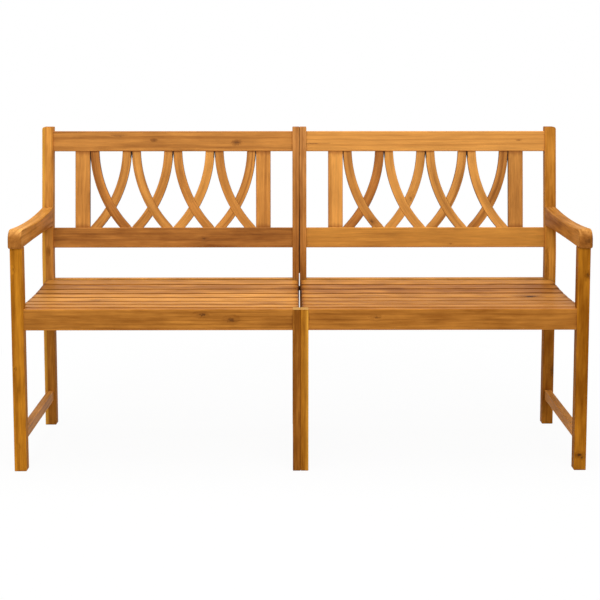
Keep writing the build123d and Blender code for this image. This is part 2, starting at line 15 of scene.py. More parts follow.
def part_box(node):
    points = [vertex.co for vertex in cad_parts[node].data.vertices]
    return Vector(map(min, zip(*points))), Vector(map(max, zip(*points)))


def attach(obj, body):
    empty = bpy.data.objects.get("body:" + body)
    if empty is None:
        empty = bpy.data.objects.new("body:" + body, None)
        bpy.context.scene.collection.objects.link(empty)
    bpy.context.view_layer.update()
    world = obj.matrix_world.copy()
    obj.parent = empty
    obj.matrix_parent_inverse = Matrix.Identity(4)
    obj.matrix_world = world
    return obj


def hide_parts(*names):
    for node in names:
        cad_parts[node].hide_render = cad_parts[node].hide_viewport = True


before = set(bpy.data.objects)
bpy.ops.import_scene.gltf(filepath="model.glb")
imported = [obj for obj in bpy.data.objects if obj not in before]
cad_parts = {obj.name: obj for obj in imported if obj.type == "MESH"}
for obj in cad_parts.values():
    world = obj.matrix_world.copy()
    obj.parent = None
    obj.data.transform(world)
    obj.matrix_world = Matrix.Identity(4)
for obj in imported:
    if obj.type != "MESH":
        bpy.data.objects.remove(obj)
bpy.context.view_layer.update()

# %% [markdown]
# ## Short ways to add nodes
# Materials and Geometry Nodes are both trees of nodes. A tree is easier to read in a script when one
# call adds a node, sets it and links it, and when a sum looks like a sum. So each output of a node is
# kept as a wire. Adding or multiplying wires adds a Math node, or a Vector Math node for vectors.

# %% Wires and nodes
class Wire:
    """An output of a node, to be linked or reckoned with."""

    def __init__(self, tree, socket):
        self.tree = tree
        self.socket = socket

    def __add__(self, other):
        return count("ADD", self, other)

    def __sub__(self, other):
        return count("SUBTRACT", self, other)

    def __rsub__(self, other):
        return count("SUBTRACT", other, self)

    def __mul__(self, other):
        return count("MULTIPLY", self, other)

    def __truediv__(self, other):
        return count("DIVIDE", self, other)

    def __abs__(self):
        return count("ABSOLUTE", self)


def place(tree, kind, inputs=None, **settings):
    """Adds a node, sets it, fills or links its inputs, and gives its outputs by number and name."""
    made = tree.nodes.new(kind)
    for name, value in settings.items():
        setattr(made, name, value)
    for name, value in (inputs or {}).items():
        for one in value if isinstance(value, list) else [value]:
            if isinstance(one, Wire):
                tree.links.new(one.socket, made.inputs[name])
            else:
                made.inputs[name].default_value = one
    return {key: Wire(tree, socket) for i, socket in enumerate(made.outputs) for key in (i, socket.name)}


def tree_of(values):
    """The tree of the first wire among some values."""
    return next(value.tree for value in values if isinstance(value, Wire))


def is_vector(value):
    """True for a vector or a colour, on a wire or written out."""
    if isinstance(value, Wire):
        return value.socket.type in {"VECTOR", "RGBA"}
    return isinstance(value, tuple)


def count(operation, *values):
    """The result of a Math node, or of a Vector Math node where a vector takes part."""
    kind = "ShaderNodeVectorMath" if any(map(is_vector, values)) else "ShaderNodeMath"
    made = place(tree_of(values), kind, dict(enumerate(values)), operation=operation)
    return made["Value" if operation in {"LENGTH", "DOT_PRODUCT"} else 0]


# %% Vectors, steps, mixes and noise
def split(vector):
    """The three numbers of a vector."""
    made = place(vector.tree, "ShaderNodeSeparateXYZ", {0: vector})
    return made[0], made[1], made[2]


def join(*numbers):
    """A vector from three numbers."""
    return place(tree_of(numbers), "ShaderNodeCombineXYZ", dict(enumerate(numbers)))[0]


def soft_step(value, low, high, start=0.0, end=1.0):
    """Goes smoothly from start to end while the value goes from low to high."""
    inputs = {"Value": value, "From Min": low, "From Max": high, "To Min": start, "To Max": end}
    return place(value.tree, "ShaderNodeMapRange", inputs, interpolation_type="SMOOTHSTEP")[0]


def soft_fall(value, low, high):
    """Falls smoothly from 1 to 0 while the value goes from low to high."""
    return soft_step(value, low, high, 1.0, 0.0)


def blend(factor, first, second, mode="MIX"):
    """A mix of two colours."""
    inputs = {0: factor, 6: first, 7: second}
    return place(tree_of(inputs.values()), "ShaderNodeMix", inputs, data_type="RGBA", blend_type=mode)[2]


def noise(vector, scale, detail=2.0, roughness=0.5):
    """A Noise Texture whose scale differs along, across and through the board."""
    inputs = {"Vector": vector * scale, "Scale": 1.0, "Detail": detail, "Roughness": roughness}
    return place(vector.tree, "ShaderNodeTexNoise", inputs)


# %% Groups
INPUT_WORDS = {float: "Float", int: "Int", tuple: "Vector"}
OUTPUT_WORDS = {"VALUE": "Float", "VECTOR": "Vector", "RGBA": "Color", "GEOMETRY": "Geometry"}
GEOMETRY = "GeometryNodeTree"


def new_group(name, inputs, kind="ShaderNodeTree"):
    """A node group and its inputs; a word stands for an input that has no value of its own."""
    tree = bpy.data.node_groups.new(name, kind)
    for title, value in inputs.items():
        word = value if isinstance(value, str) else INPUT_WORDS[type(value)]
        made = tree.interface.new_socket(title, in_out="INPUT", socket_type="NodeSocket" + word)
        if value != word:
            made.default_value = value
    return tree, place(tree, "NodeGroupInput")


def finish_group(tree, results):
    """Gives the group an output for each result."""
    for title, wire in results.items():
        word = OUTPUT_WORDS[wire.socket.type]
        tree.interface.new_socket(title, in_out="OUTPUT", socket_type="NodeSocket" + word)
    place(tree, "NodeGroupOutput", results)
    print("group", tree.name, "nodes:", len(tree.nodes))
    return tree


def use(tree, group, inputs):
    """Adds a group to a tree and gives its outputs."""
    return place(tree, tree.bl_idname.replace("Tree", "Group"), inputs, node_tree=group)


# %% [markdown]
# ## The figure of the wood
# A board is cut from a log, so its grain is a solid pattern: growth rings round a pith that lies off
# to one side, drawn out along the board. Painting lines on each face would not meet at the corners.
# Here the rings are distances from a line, bent by noise, and the finer streaks and fibres are noise
# that is stretched a long way along the grain. "Grain" is a place in the board in metres: along it,
# across it and through it.

# %% Group: figure
MIDDLE_GREY = (0.5, 0.5, 0.5)


def make_figure():
    tree, given = new_group("acacia figure", {
        "Grain": "Vector", "Seed": 0.0, "Ring Width": 0.011, "Wander": 0.012})
    grain, seed = given["Grain"], given["Seed"]
    own = grain + join(seed * 9.7, seed * 4.3, seed * 6.1)
    wander = join(0.0, given["Wander"], given["Wander"])
    lean = (noise(own, (1.7, 9.0, 9.0))["Color"] - MIDDLE_GREY) * wander
    _, across, through = split(grain + lean)
    pith_across = count("SINE", seed * 41.0) * 0.045
    pith_through = count("COSINE", seed * 29.0) * 0.02 + 0.05
    offset = join(0.0, across - pith_across, through - pith_through)
    wave = count("SINE", count("LENGTH", offset) / given["Ring Width"] * (2 * pi))
    strength = soft_step(noise(own, (1.1, 16.0, 16.0))["Fac"], 0.42, 0.66, 0.12, 1.0)
    along = own + lean
    return finish_group(tree, {
        "Rings": soft_step(wave, 0.1, 1.0) * strength,
        "Streaks": noise(along, (6.0, 90.0, 90.0), 4.0, 0.72)["Fac"],
        "Fibres": noise(along, (14.0, 620.0, 620.0), 2.0, 0.6)["Fac"],
        "Clouds": noise(along, (9.0, 24.0, 24.0), 3.0)["Fac"],
    })


figure = make_figure()

# %% [markdown]
# ## Knots
# A knot is a branch that the trunk grew round, so it runs through the board and pushes the grain
# aside. The group gives a dark core, a brown halo, and a new place in the board where the grain has
# swung round the knot. Several knots are chained, each one taking the place that the last gave.

# %% Group: knot
def make_knot():
    tree, given = new_group("knot", {
        "Grain": "Vector", "Centre": "Vector", "Size": (0.01, 0.01, 0.01), "Dark": 0.5,
        "Core So Far": 0.0, "Halo So Far": 0.0})
    grain, dark = given["Grain"], given["Dark"]
    away = grain - given["Centre"]
    rough = (noise(grain, (160.0, 160.0, 160.0))["Color"] - MIDDLE_GREY) * (1.7, 1.7, 1.7)
    distance = count("LENGTH", away / given["Size"] + rough)
    core = soft_fall(distance, 0.35, 1.0) * dark
    halo = soft_fall(distance, 0.4, 2.8) * dark
    push = away * (halo * -0.8) * (0.2, 1.0, 1.0)
    return finish_group(tree, {
        "Grain": grain + push,
        "Core": count("MAXIMUM", core, given["Core So Far"]),
        "Halo": count("MAXIMUM", halo, given["Halo So Far"]),
    })


knot = make_knot()

# %% [markdown]
# ## Worn and highlit arrises, sealed ends and shaded sides
# Hands, cloth and a last pass of sandpaper rub the long corners of a board smooth, and they are painted
# paler, partly for that wear and partly as a painted highlight. Its ends drink more oil and go darker,
# and on slats that lie side by side the sides in the gaps get painted shade. All of it follows from
# where a point lies in its board, so the group needs only that place and the board's half size.

# %% Group: edges
def make_edges():
    tree, given = new_group("board edges", {
        "Grain": "Vector", "Half Size": (0.3, 0.03, 0.01), "Rub": 0.005, "Soak": 0.016, "Reach": 0.0034})
    to_end, to_side, to_face = split(given["Half Size"] - abs(given["Grain"]))
    corner = count("LENGTH", join(0.0, to_side, to_face))
    uneven = noise(given["Grain"], (18.0, 60.0, 60.0), 3.0)["Fac"]
    rub = given["Rub"] * soft_step(uneven, 0.3, 0.75, 0.35, 1.5)
    soak = given["Soak"] * soft_step(uneven, 0.3, 0.75, 0.4, 1.5)
    return finish_group(tree, {
        "Arris": soft_fall(corner / rub, 0.2, 1.0),
        "End": soft_fall(to_end / soak, 0.0, 1.0),
        "Side": soft_fall(to_side / given["Reach"], 0.2, 1.0),
    })


edges = make_edges()

# %% [markdown]
# ## Sapwood
# The outer wood of an acacia log is honey yellow, and a narrow board often keeps a strip of it along
# one side. The strip is everything past a wavering line across the board.

# %% Group: sapwood
def make_sapwood():
    tree, given = new_group("sapwood", {
        "Grain": "Vector", "Seed": 0.0, "Side": (0.0, 1.0, 0.0), "Line": 1.0, "Softness": 0.003})
    seed = given["Seed"]
    own = given["Grain"] + join(seed, seed, seed)
    waver = (noise(own, (5.0, 20.0, 20.0), 3.0)["Fac"] - 0.5) * 0.012
    past = count("DOT_PRODUCT", given["Grain"], given["Side"]) - given["Line"] + waver
    return finish_group(tree, {"Sap": soft_step(past / given["Softness"], -1.0, 1.0)})


sapwood = make_sapwood()

# %% [markdown]
# ## Painted shade in cracks between boards
# Under the top rail the bent slats stand so close that the crack between them lies in shade, until
# the bend opens it. The two inner posts meet in such a crack as well. That shade is painted: the group
# finds the stretch on one side of a board, and also the thin painted shadow under the rail. A crack is
# painted dark for three quarters of its length and then fades.

# %% Group: crack
CRACK_DARK = 0.75
# Height of the painted shadow under the top rail.
RAIL_SHADOW_HEIGHT = 0.006


def make_crack():
    tree, given = new_group("crack", {
        "Grain": "Vector", "Half Width": 0.01375, "Way": 1.0, "Top": 0.010, "Length": 0.03,
        "Reach": 0.0038, "Rest": 0.0})
    along, across, _ = split(given["Grain"])
    to_side = given["Half Width"] - across * given["Way"]
    near = soft_fall(to_side / given["Reach"], 0.35, 1.0)
    down = along - given["Top"]
    # Painted shade: dark for the first three quarters of the stretch, then fading to the rest.
    high = soft_step(down / given["Length"], CRACK_DARK, 1.0, 1.0, given["Rest"])
    return finish_group(tree, {"Crack": near * high, "Rail Shadow": soft_fall(down, 0.0, RAIL_SHADOW_HEIGHT)})


crack = make_crack()

# %% [markdown]
# ## Painted light
# Wood that stands high or faces up is painted paler, as painted light, while the parts in the shade
# under the seat stay darker as painted shade. The mask grows in one direction, up a post or forward
# along an arm, and it can be held to the faces that look up.

# %% Group: directed mask for painted light
def make_directed_mask():
    tree, given = new_group("bleached wood", {
        "Place": "Vector", "Normal": (0.0, 0.0, 1.0), "Towards": (0.0, 0.0, 1.0), "Start": 0.32,
        "End": 0.47, "Facing": 0.0, "Amount": 0.3})
    far = count("DOT_PRODUCT", given["Place"], given["Towards"])
    high = soft_step(far, given["Start"], given["End"])
    up = soft_step(split(given["Normal"])[2], 0.25, 0.8)
    facing = given["Facing"] * (up - 1.0) + 1.0
    return finish_group(tree, {"Directed Mask": high * facing * given["Amount"]})


bleach = make_directed_mask()

# %% [markdown]
# ## The oiled finish
# One group turns the masks into colour, roughness and height. "Tone" slides a board from russet to
# pale honey, so neighbours differ as real boards do, "Warmth" reddens it and "Gold" yellows it. The
# oil leaves a satin sheen that is broken by open fibres.

# %% Group: oiled acacia
RUSSET = (0.235, 0.078, 0.0085, 1.0)
HONEY = (0.740, 0.330, 0.066, 1.0)
SAP_YELLOW = (0.720, 0.350, 0.045, 1.0)
PAINTED_LIGHT_TINT = (1.33, 1.48, 2.10, 1.0)
GOLDEN = (1.00, 0.97, 0.35, 1.0)
RING_BROWN = (0.50, 0.40, 0.30, 1.0)
WARM_RED = (0.94, 0.74, 0.60, 1.0)
KNOT_BROWN = (0.36, 0.26, 0.20, 1.0)
KNOT_DARK_AND_CRACK_SHADE = (0.055, 0.020, 0.008, 1.0)
END_BROWN_AND_RAIL_SHADOW = (0.62, 0.52, 0.44, 1.0)
GAP_SHADE_BROWN = (0.42, 0.33, 0.23, 1.0)
BARE_END = (0.47, 0.245, 0.060, 1.0)
RUBBED_AND_HIGHLIT = (1.12, 1.13, 1.15, 1.0)
CLOUD_SHARE, STREAK_SHARE, RING_SHARE, SAP_SHARE, HALO_SHARE = 0.9, 1.1, 0.6, 0.75, 0.75
SMOOTHEST = 0.36


def make_finish():
    tree, given = new_group("oiled acacia", {
        "Rings": 0.0, "Streaks": 0.5, "Fibres": 0.5, "Clouds": 0.5, "Tone": 0.5, "Warmth": 0.0, "Gold": 0.0,
        "Contrast": 1.0, "Sap": 0.0, "Directed Mask": 0.0, "Bare": 0.0, "Core": 0.0, "Halo": 0.0, "Arris": 0.0,
        "End": 0.0, "Side": 0.0})
    rings, fibres, contrast = given["Rings"], given["Fibres"], given["Contrast"]
    varied = (given["Clouds"] - 0.5) * CLOUD_SHARE + (given["Streaks"] - 0.5) * STREAK_SHARE
    colour = blend(given["Tone"] + varied * contrast, RUSSET, HONEY)
    colour = blend(given["Warmth"], colour, WARM_RED, "MULTIPLY")
    colour = blend(given["Gold"], colour, GOLDEN, "MULTIPLY")
    # Painted light: paler where the directed mask is high.
    colour = blend(given["Directed Mask"], colour, PAINTED_LIGHT_TINT, "MULTIPLY")
    colour = blend(given["Sap"] * SAP_SHARE, colour, SAP_YELLOW)
    colour = blend(given["Bare"], colour, BARE_END)
    colour = blend(rings * contrast * RING_SHARE, colour, RING_BROWN, "MULTIPLY")
    speck = soft_step(fibres, 0.25, 0.8, 0.86, 1.10)
    colour = blend(1.0, colour, join(speck, speck, speck), "MULTIPLY")
    colour = blend(given["Halo"] * HALO_SHARE, colour, KNOT_BROWN, "MULTIPLY")
    # Core: knot cores, and the painted shade in cracks.
    colour = blend(given["Core"], colour, KNOT_DARK_AND_CRACK_SHADE)
    # Arris: paler long corners, partly wear and partly painted highlight.
    colour = blend(given["Arris"], colour, RUBBED_AND_HIGHLIT, "MULTIPLY")
    # End: ends that took more oil, and on the bent slats a painted shadow under the top rail.
    colour = blend(given["End"] * (1.0 - given["Bare"]), colour, END_BROWN_AND_RAIL_SHADOW, "MULTIPLY")
    # Side: painted shade on the slats' sides, in the gaps between them.
    colour = blend(given["Side"], colour, GAP_SHADE_BROWN, "MULTIPLY")
    return finish_group(tree, {
        "Color": colour,
        "Roughness": fibres * 0.22 + rings * 0.08 - given["Arris"] * 0.06 + SMOOTHEST,
        "Height": fibres + rings * 0.35 - given["Core"] * 0.8,
    })


finish = make_finish()

# %% [markdown]
# ## A material for one board
# Each board gets a material of its own: the same groups, with its own seed, tone and knots. A solid
# piece reads Object coordinates, and a Mapping node turns them so that the first number runs along
# the grain. A slat that is made by Geometry Nodes carries its place in the board as an attribute.

# %% Wood on known grain
OIL_SHEEN, BACK_SHEEN, MATT = 0.05, 0.13, 0.01
BOARD_SOAK, UPRIGHT_SOAK = 0.016, 0.004
NO_GAP = 0.001
BUMP_STRENGTH, BUMP_DEPTH = 0.22, 0.0004
FIGURE_NAMES = ("Rings", "Streaks", "Fibres", "Clouds")


def new_material(name):
    """An empty material with nodes."""
    material = bpy.data.materials.new(name)
    material.use_nodes = True
    material.node_tree.nodes.clear()
    return material


def cover(tree, inputs):
    """Ends a material in a Principled shader."""
    shader = place(tree, "ShaderNodeBsdfPrincipled", inputs)[0]
    place(tree, "ShaderNodeOutputMaterial", {"Surface": shader})


def dress(tree, grain, half_size, look, knots=(), masks=None, core=0.0, sheen=OIL_SHEEN, soak=BOARD_SOAK,
          gap=None):
    """Adds the wood groups and the shader to a material that already has its grain places."""
    halo, swung = 0.0, grain
    for centre, size, dark in knots:
        made = use(tree, knot, {"Grain": swung, "Centre": centre, "Size": size, "Dark": dark,
                                "Core So Far": core, "Halo So Far": halo})
        swung, core, halo = made["Grain"], made["Core"], made["Halo"]
    drawn = use(tree, figure, {"Grain": swung, "Seed": look["Seed"]})
    worn = use(tree, edges, {"Grain": grain, "Half Size": half_size, "Soak": soak, "Reach": gap or NO_GAP})
    inputs = {name: drawn[name] for name in FIGURE_NAMES}
    inputs.update({name: value for name, value in look.items() if name != "Seed"})
    inputs.update({"Core": core, "Halo": halo, "Arris": worn["Arris"], "End": worn["End"]})
    # Slats that lie side by side get painted shade on their sides in the gaps.
    if gap:
        inputs["Side"] = worn["Side"]
    inputs.update(masks or {})
    oiled = use(tree, finish, inputs)
    bump = place(tree, "ShaderNodeBump", {
        "Height": oiled["Height"], "Strength": BUMP_STRENGTH, "Distance": BUMP_DEPTH})[0]
    cover(tree, {"Base Color": oiled["Color"], "Roughness": oiled["Roughness"], "Normal": bump,
                 "Specular IOR Level": sheen})


print("wood names:", FIGURE_NAMES, "sheen:", OIL_SHEEN, BACK_SHEEN, MATT)


# %% Solid boards
def board_material(name, turn, centre, half_size, look, knots=(), sap=None, fade=None, bare=None, seam=None,
                   straighten=None, **finish_words):
    """The material of a solid board: turn is a matrix from the bench to the board's own directions."""
    material = new_material(name)
    tree = material.node_tree
    spot = place(tree, "ShaderNodeTexCoord")["Object"]
    masks, core = {}, 0.0
    # The directed mask gives painted light on high and up-facing wood, and the bare leg tops.
    for title, reach in (("Directed Mask", fade), ("Bare", bare)):
        if reach:
            normal = place(tree, "ShaderNodeNewGeometry")["Normal"]
            masks[title] = use(tree, bleach, {"Place": spot, "Normal": normal, **reach})["Directed Mask"]
    if straighten:
        spot = straighten(spot)
    mapping = {"Vector": spot, "Location": -(turn @ centre), "Rotation": turn.to_euler()}
    grain = place(tree, "ShaderNodeMapping", mapping, vector_type="POINT")[0]
    if sap:
        masks["Sap"] = use(tree, sapwood, {"Grain": grain, "Seed": look["Seed"], **sap})["Sap"]
    # The inner posts get painted shade in the line where they meet.
    if seam:
        core = use(tree, crack, {"Grain": grain, "Half Width": half_size.y, **seam})["Crack"]
    dress(tree, grain, half_size, look, knots, masks, core, **finish_words)
    return material


def paint(node, material):
    """Gives a solid its material."""
    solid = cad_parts[node]
    solid.data.materials.clear()
    solid.data.materials.append(material)


# %% Slats that carry their grain
def carried(tree, title, output="Fac"):
    """A value that slats carry as an attribute."""
    return place(tree, "ShaderNodeAttribute", attribute_name=title)[output]


def slat_material(name, half_size, gap, contrast=1.0, mark=None, sheen=OIL_SHEEN, crack_top=None):
    """The material of slats that carry grain, tone, warmth, seed and a dark mark's place."""
    material = new_material(name)
    tree = material.node_tree
    grain = carried(tree, "grain", "Vector")
    look = {title: carried(tree, title.lower()) for title in ("Tone", "Warmth", "Seed")}
    look["Contrast"] = contrast
    knots, masks, core = [], {}, 0.0
    if mark:
        knots.append((carried(tree, "knot", "Vector"), *mark))
    # Bent slats get painted shade in the crack beside their neighbour, and a painted shadow under the top
    # rail in place of dark ends.
    if crack_top:
        crack_shade = use(tree, crack, {"Grain": grain, "Half Width": half_size.y, "Top": crack_top,
                                 "Length": carried(tree, "crack")})
        core, masks["End"] = crack_shade["Crack"], crack_shade["Rail Shadow"]
    dress(tree, grain, half_size, look, knots, masks, core, sheen, gap=gap)
    return material


# %% [markdown]
# ## Legs, rails and armrests
# These solids already have the right shape, so they keep it and get boards' materials. Only the rear
# posts need a trick: they lean back above a bend, and so does their grain. Moving each point forward
# by as much as the post has leaned there makes the post straight for the pattern.

# %% The leaning back
LEAN = radians(6.5)
BEND_HEIGHT = 0.535
POST_DEPTH = 0.036
BACK_MIDDLE = -POST_DEPTH / 2
BACK_RAIL, BACK_RAIL_THICKNESS = 0.0615, 0.022
LOWER_RAIL, TOP_RAIL = 0.05075, 0.34725
y_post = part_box("outer_rear_post_right")[0].y
back_turn = Matrix(((1, 0, 0), (0, sin(LEAN), cos(LEAN)), (0, -cos(LEAN), sin(LEAN))))
back_origin = Vector((0, y_post, BEND_HEIGHT))


def from_back(x, up, out):
    """A place on the back, measured from its bend, as a place on the bench."""
    return back_origin + back_turn.transposed() @ Vector((x, up, out))


def upright_post(spot):
    """Takes the lean out of a place on a rear post."""
    x, y, z = split(spot)
    above = count("MAXIMUM", z - BEND_HEIGHT, 0.0)
    return join(x, y - above * tan(LEAN), z)


print("top rail's middle:", [round(v, 4) for v in from_back(0, TOP_RAIL, BACK_MIDDLE)])

# %% Ways to dress a board
TURNS = {
    "x": Matrix(((1, 0, 0), (0, 1, 0), (0, 0, 1))),
    "y": Matrix(((0, 1, 0), (0, 0, 1), (1, 0, 0))),
    "z": Matrix(((0, 0, 1), (1, 0, 0), (0, 1, 0))),
}
SEED_STEP = 0.137
KNOT_DEPTH = 0.04
# The inner posts meet in a line of painted shade: dark up to the lower height, half as dark from the higher
# one.
SEAM_LOW, SEAM_HIGH, SEAM_REACH, SEAM_REST = 0.62, 0.72, 0.0026, 0.5


def board_look(number, tone, warmth=0.0, gold=0.0, contrast=1.0):
    """A board's own seed and colour."""
    return {"Seed": number * SEED_STEP % 1.0, "Tone": tone, "Warmth": warmth, "Gold": gold,
            "Contrast": contrast}


def sized(vector):
    """A vector without its signs."""
    return Vector([abs(v) for v in vector])


def dress_board(node, axis, *look, knots=(), meets=None, **finish_words):
    """Dresses a straight or bent board of the frame; knots are places on it in bench metres."""
    low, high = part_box(node)
    turn = TURNS[axis]
    if "rear_post" in node:
        high = Vector((high.x, low.y + POST_DEPTH, high.z))
        finish_words["straighten"] = upright_post
    centre = (low + high) / 2
    placed = []
    for spot, size, dark in knots:
        middle = Vector([c if v is None else v for v, c in zip(spot, centre)])
        grown = Vector([KNOT_DEPTH if v is None else v for v in size])
        placed.append((turn @ (middle - centre), sized(turn @ grown), dark))
    if meets:
        length = (SEAM_HIGH - SEAM_LOW) / (1 - CRACK_DARK)
        finish_words["seam"] = {"Way": meets, "Top": SEAM_HIGH - length - centre.z, "Length": length,
                                "Reach": SEAM_REACH, "Rest": SEAM_REST}
    half_size = sized(turn @ (high - low)) / 2
    paint(node, board_material(node + " wood", turn, centre, half_size, board_look(*look), placed,
                               soak=UPRIGHT_SOAK if axis == "z" else BOARD_SOAK, **finish_words))


def dress_back_rail(node, up, *look, knots=()):
    """Dresses a rail of the leaning back; up is its middle, measured up the back from the bend."""
    low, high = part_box(node)
    half_size = Vector((high.x - low.x, BACK_RAIL, BACK_RAIL_THICKNESS)) / 2
    centre = from_back((low.x + high.x) / 2, up, BACK_MIDDLE)
    placed = [(Vector((x - centre.x, v, 0)), Vector((long, wide, KNOT_DEPTH)), dark)
              for x, v, long, wide, dark in knots]
    paint(node, board_material(node + " wood", back_turn, centre, half_size, board_look(*look), placed,
                               sheen=BACK_SHEEN))


def tell_boards():
    """Prints how many boards have their wood."""
    print("boards dressed:", len([m for m in bpy.data.materials if m.name.endswith(" wood")]))


# %% Outer legs and posts
# Painted light up the outer rear posts, paler above the shade of the seat.
UP_THE_POST = {"Towards": (0, 0, 1), "Start": 0.32, "End": 0.47, "Facing": 0.0}
dress_board("outer_front_leg_left", "z", 1, 0.45, 0.35, 0.9, sheen=MATT, knots=[
    ((-0.780, None, 0.563), (0.003, None, 0.006), 0.4), ((-0.783, None, 0.288), (0.003, None, 0.003), 0.6),
    ((-0.771, None, 0.228), (0.003, None, 0.004), 0.25), ((-0.775, None, 0.070), (0.003, None, 0.006), 0.25)])
dress_board("outer_front_leg_right", "z", 2, 0.19, 0.35, 0.9, sheen=MATT, knots=[
    ((0.783, None, 0.545), (0.006, None, 0.007), 0.6), ((0.769, None, 0.043), (0.008, None, 0.005), 1.0),
    ((0.775, None, 0.036), (0.004, None, 0.004), 0.8)])
dress_board("outer_rear_post_left", "z", 3, 0.37, 0.35, 0.35, sheen=MATT,
            knots=[((-0.769, None, 0.545), (0.004, None, 0.008), 0.4)],
            sap={"Side": (0, -1, 0), "Line": 0.008, "Softness": 0.002}, fade={**UP_THE_POST, "Amount": 1.0})
dress_board("outer_rear_post_right", "z", 4, 0.335, 0.4, 0.6, sheen=MATT,
            fade={**UP_THE_POST, "Amount": 0.85},
            knots=[((0.786, None, 0.170), (0.009, None, 0.030), 0.6),
                   ((0.760, None, 0.485), (0.004, None, 0.030), 0.4)])
tell_boards()

# %% Inner legs and posts
LEG_TOP = {"Towards": (0, 0, 1), "Start": 0.0, "End": 0.01, "Facing": 1.0, "Amount": 1.0}
UP_THE_BACK = {**UP_THE_POST, "Start": 0.58, "End": 0.92}
dress_board("inner_front_leg_left", "z", 5, 0.06, 0.25, 0.4, bare=LEG_TOP)
dress_board("inner_front_leg_right", "z", 6, 0.33, 0.25, 0.9, bare=LEG_TOP,
            sap={"Side": (0, 1, 0), "Line": 0.007, "Softness": 0.008})
# The inner posts get painted light high up the back.
dress_board("inner_rear_post_left", "z", 7, 0.27, 0.35, 0.0, sheen=BACK_SHEEN, meets=1.0,
            fade={**UP_THE_BACK, "Amount": 0.7})
dress_board("inner_rear_post_right", "z", 8, 0.38, 0.3, 0.0, sheen=BACK_SHEEN, meets=-1.0,
            fade={**UP_THE_BACK, "Amount": 1.4})
tell_boards()

# %% Seat rails, side rails and stretchers
dress_board("front_seat_rail_left", "x", 9, 0.35, 0.30, 0.20, 0.8, knots=[
    ((-0.269, None, 0.437), (0.012, None, 0.005), 0.65), ((-0.190, None, 0.423), (0.011, None, 0.007), 0.55)])
dress_board("front_seat_rail_right", "x", 10, 0.32, 0.35, 0.20, 0.8, knots=[
    ((0.208, None, 0.428), (0.010, None, 0.004), 0.5)])
dress_board("rear_seat_rail_left", "x", 11, 0.55)
dress_board("rear_seat_rail_right", "x", 12, 0.55)
# First board number of each side, then tone, warmth and sheen of its outer stretcher.
STRETCHERS = (("left", 13, 0.62, 0.15, OIL_SHEEN), ("right", 17, 0.80, 0.25, 0.02))
for side, number, tone, warmth, sheen in STRETCHERS:
    dress_board(f"outer_side_rail_{side}", "y", number, 0.40, 0.1)
    dress_board(f"inner_side_rail_{side}", "y", number + 1, 0.38, 0.1)
    dress_board(f"outer_stretcher_{side}", "y", number + 2, tone, warmth, sheen=sheen)
    dress_board(f"inner_stretcher_{side}", "y", number + 3, 0.40, 0.15)
tell_boards()

# %% Armrests and back rails
# Painted light on the arms' up-facing tops, growing towards the front.
ALONG_THE_ARM = {"Towards": (0, -1, 0), "Start": 0.10, "End": 0.26, "Facing": 0.75}
dress_board("armrest_left", "y", 21, 0.55, sheen=MATT, fade={**ALONG_THE_ARM, "Amount": 1.1})
dress_board("armrest_right", "y", 22, 0.37, 0.1, sheen=MATT, fade={**ALONG_THE_ARM, "Amount": 1.3},
            knots=[((0.778, -0.283, 0.641), (0.010, None, 0.007), 0.35)])
dress_back_rail("back_top_rail_left", TOP_RAIL, 23, 0.49, 0.2, 0.0, 0.8, knots=[
    (-0.193, -0.004, 0.010, 0.005, 0.45), (-0.447, 0.003, 0.006, 0.003, 0.4),
    (-0.555, 0.016, 0.016, 0.003, 0.35)])
dress_back_rail("back_top_rail_right", TOP_RAIL, 24, 0.77, 0.0, 0.0, 0.48, knots=[
    (0.676, 0.003, 0.005, 0.002, 0.5), (0.040, -0.008, 0.030, 0.0016, 0.6)])
dress_back_rail("back_lower_rail_left", LOWER_RAIL, 25, 0.27, 0.25, 0.0, 0.95, knots=[
    (-0.293, -0.004, 0.009, 0.004, 0.45)])
dress_back_rail("back_lower_rail_right", LOWER_RAIL, 26, 0.58, 0.0, 0.35, 0.62, knots=[
    (0.465, -0.020, 0.005, 0.002, 0.4)])
tell_boards()

# %% [markdown]
# ## A slat, made by rule
# Every slat is a board with eased corners. Geometry Nodes can draw one from a rectangle that is
# swept along a line: the corners of the rectangle are filleted, more above than below, and near the
# two ends the board is drawn in along a quarter circle, which rounds the ends as well. The points of
# the line crowd towards the ends, where that rounding needs them.

# %% Geometry group: eased board
def geo(tree, kind, inputs=None, **settings):
    """The first output of a Geometry node."""
    return place(tree, "GeometryNode" + kind, inputs, **settings)[0]


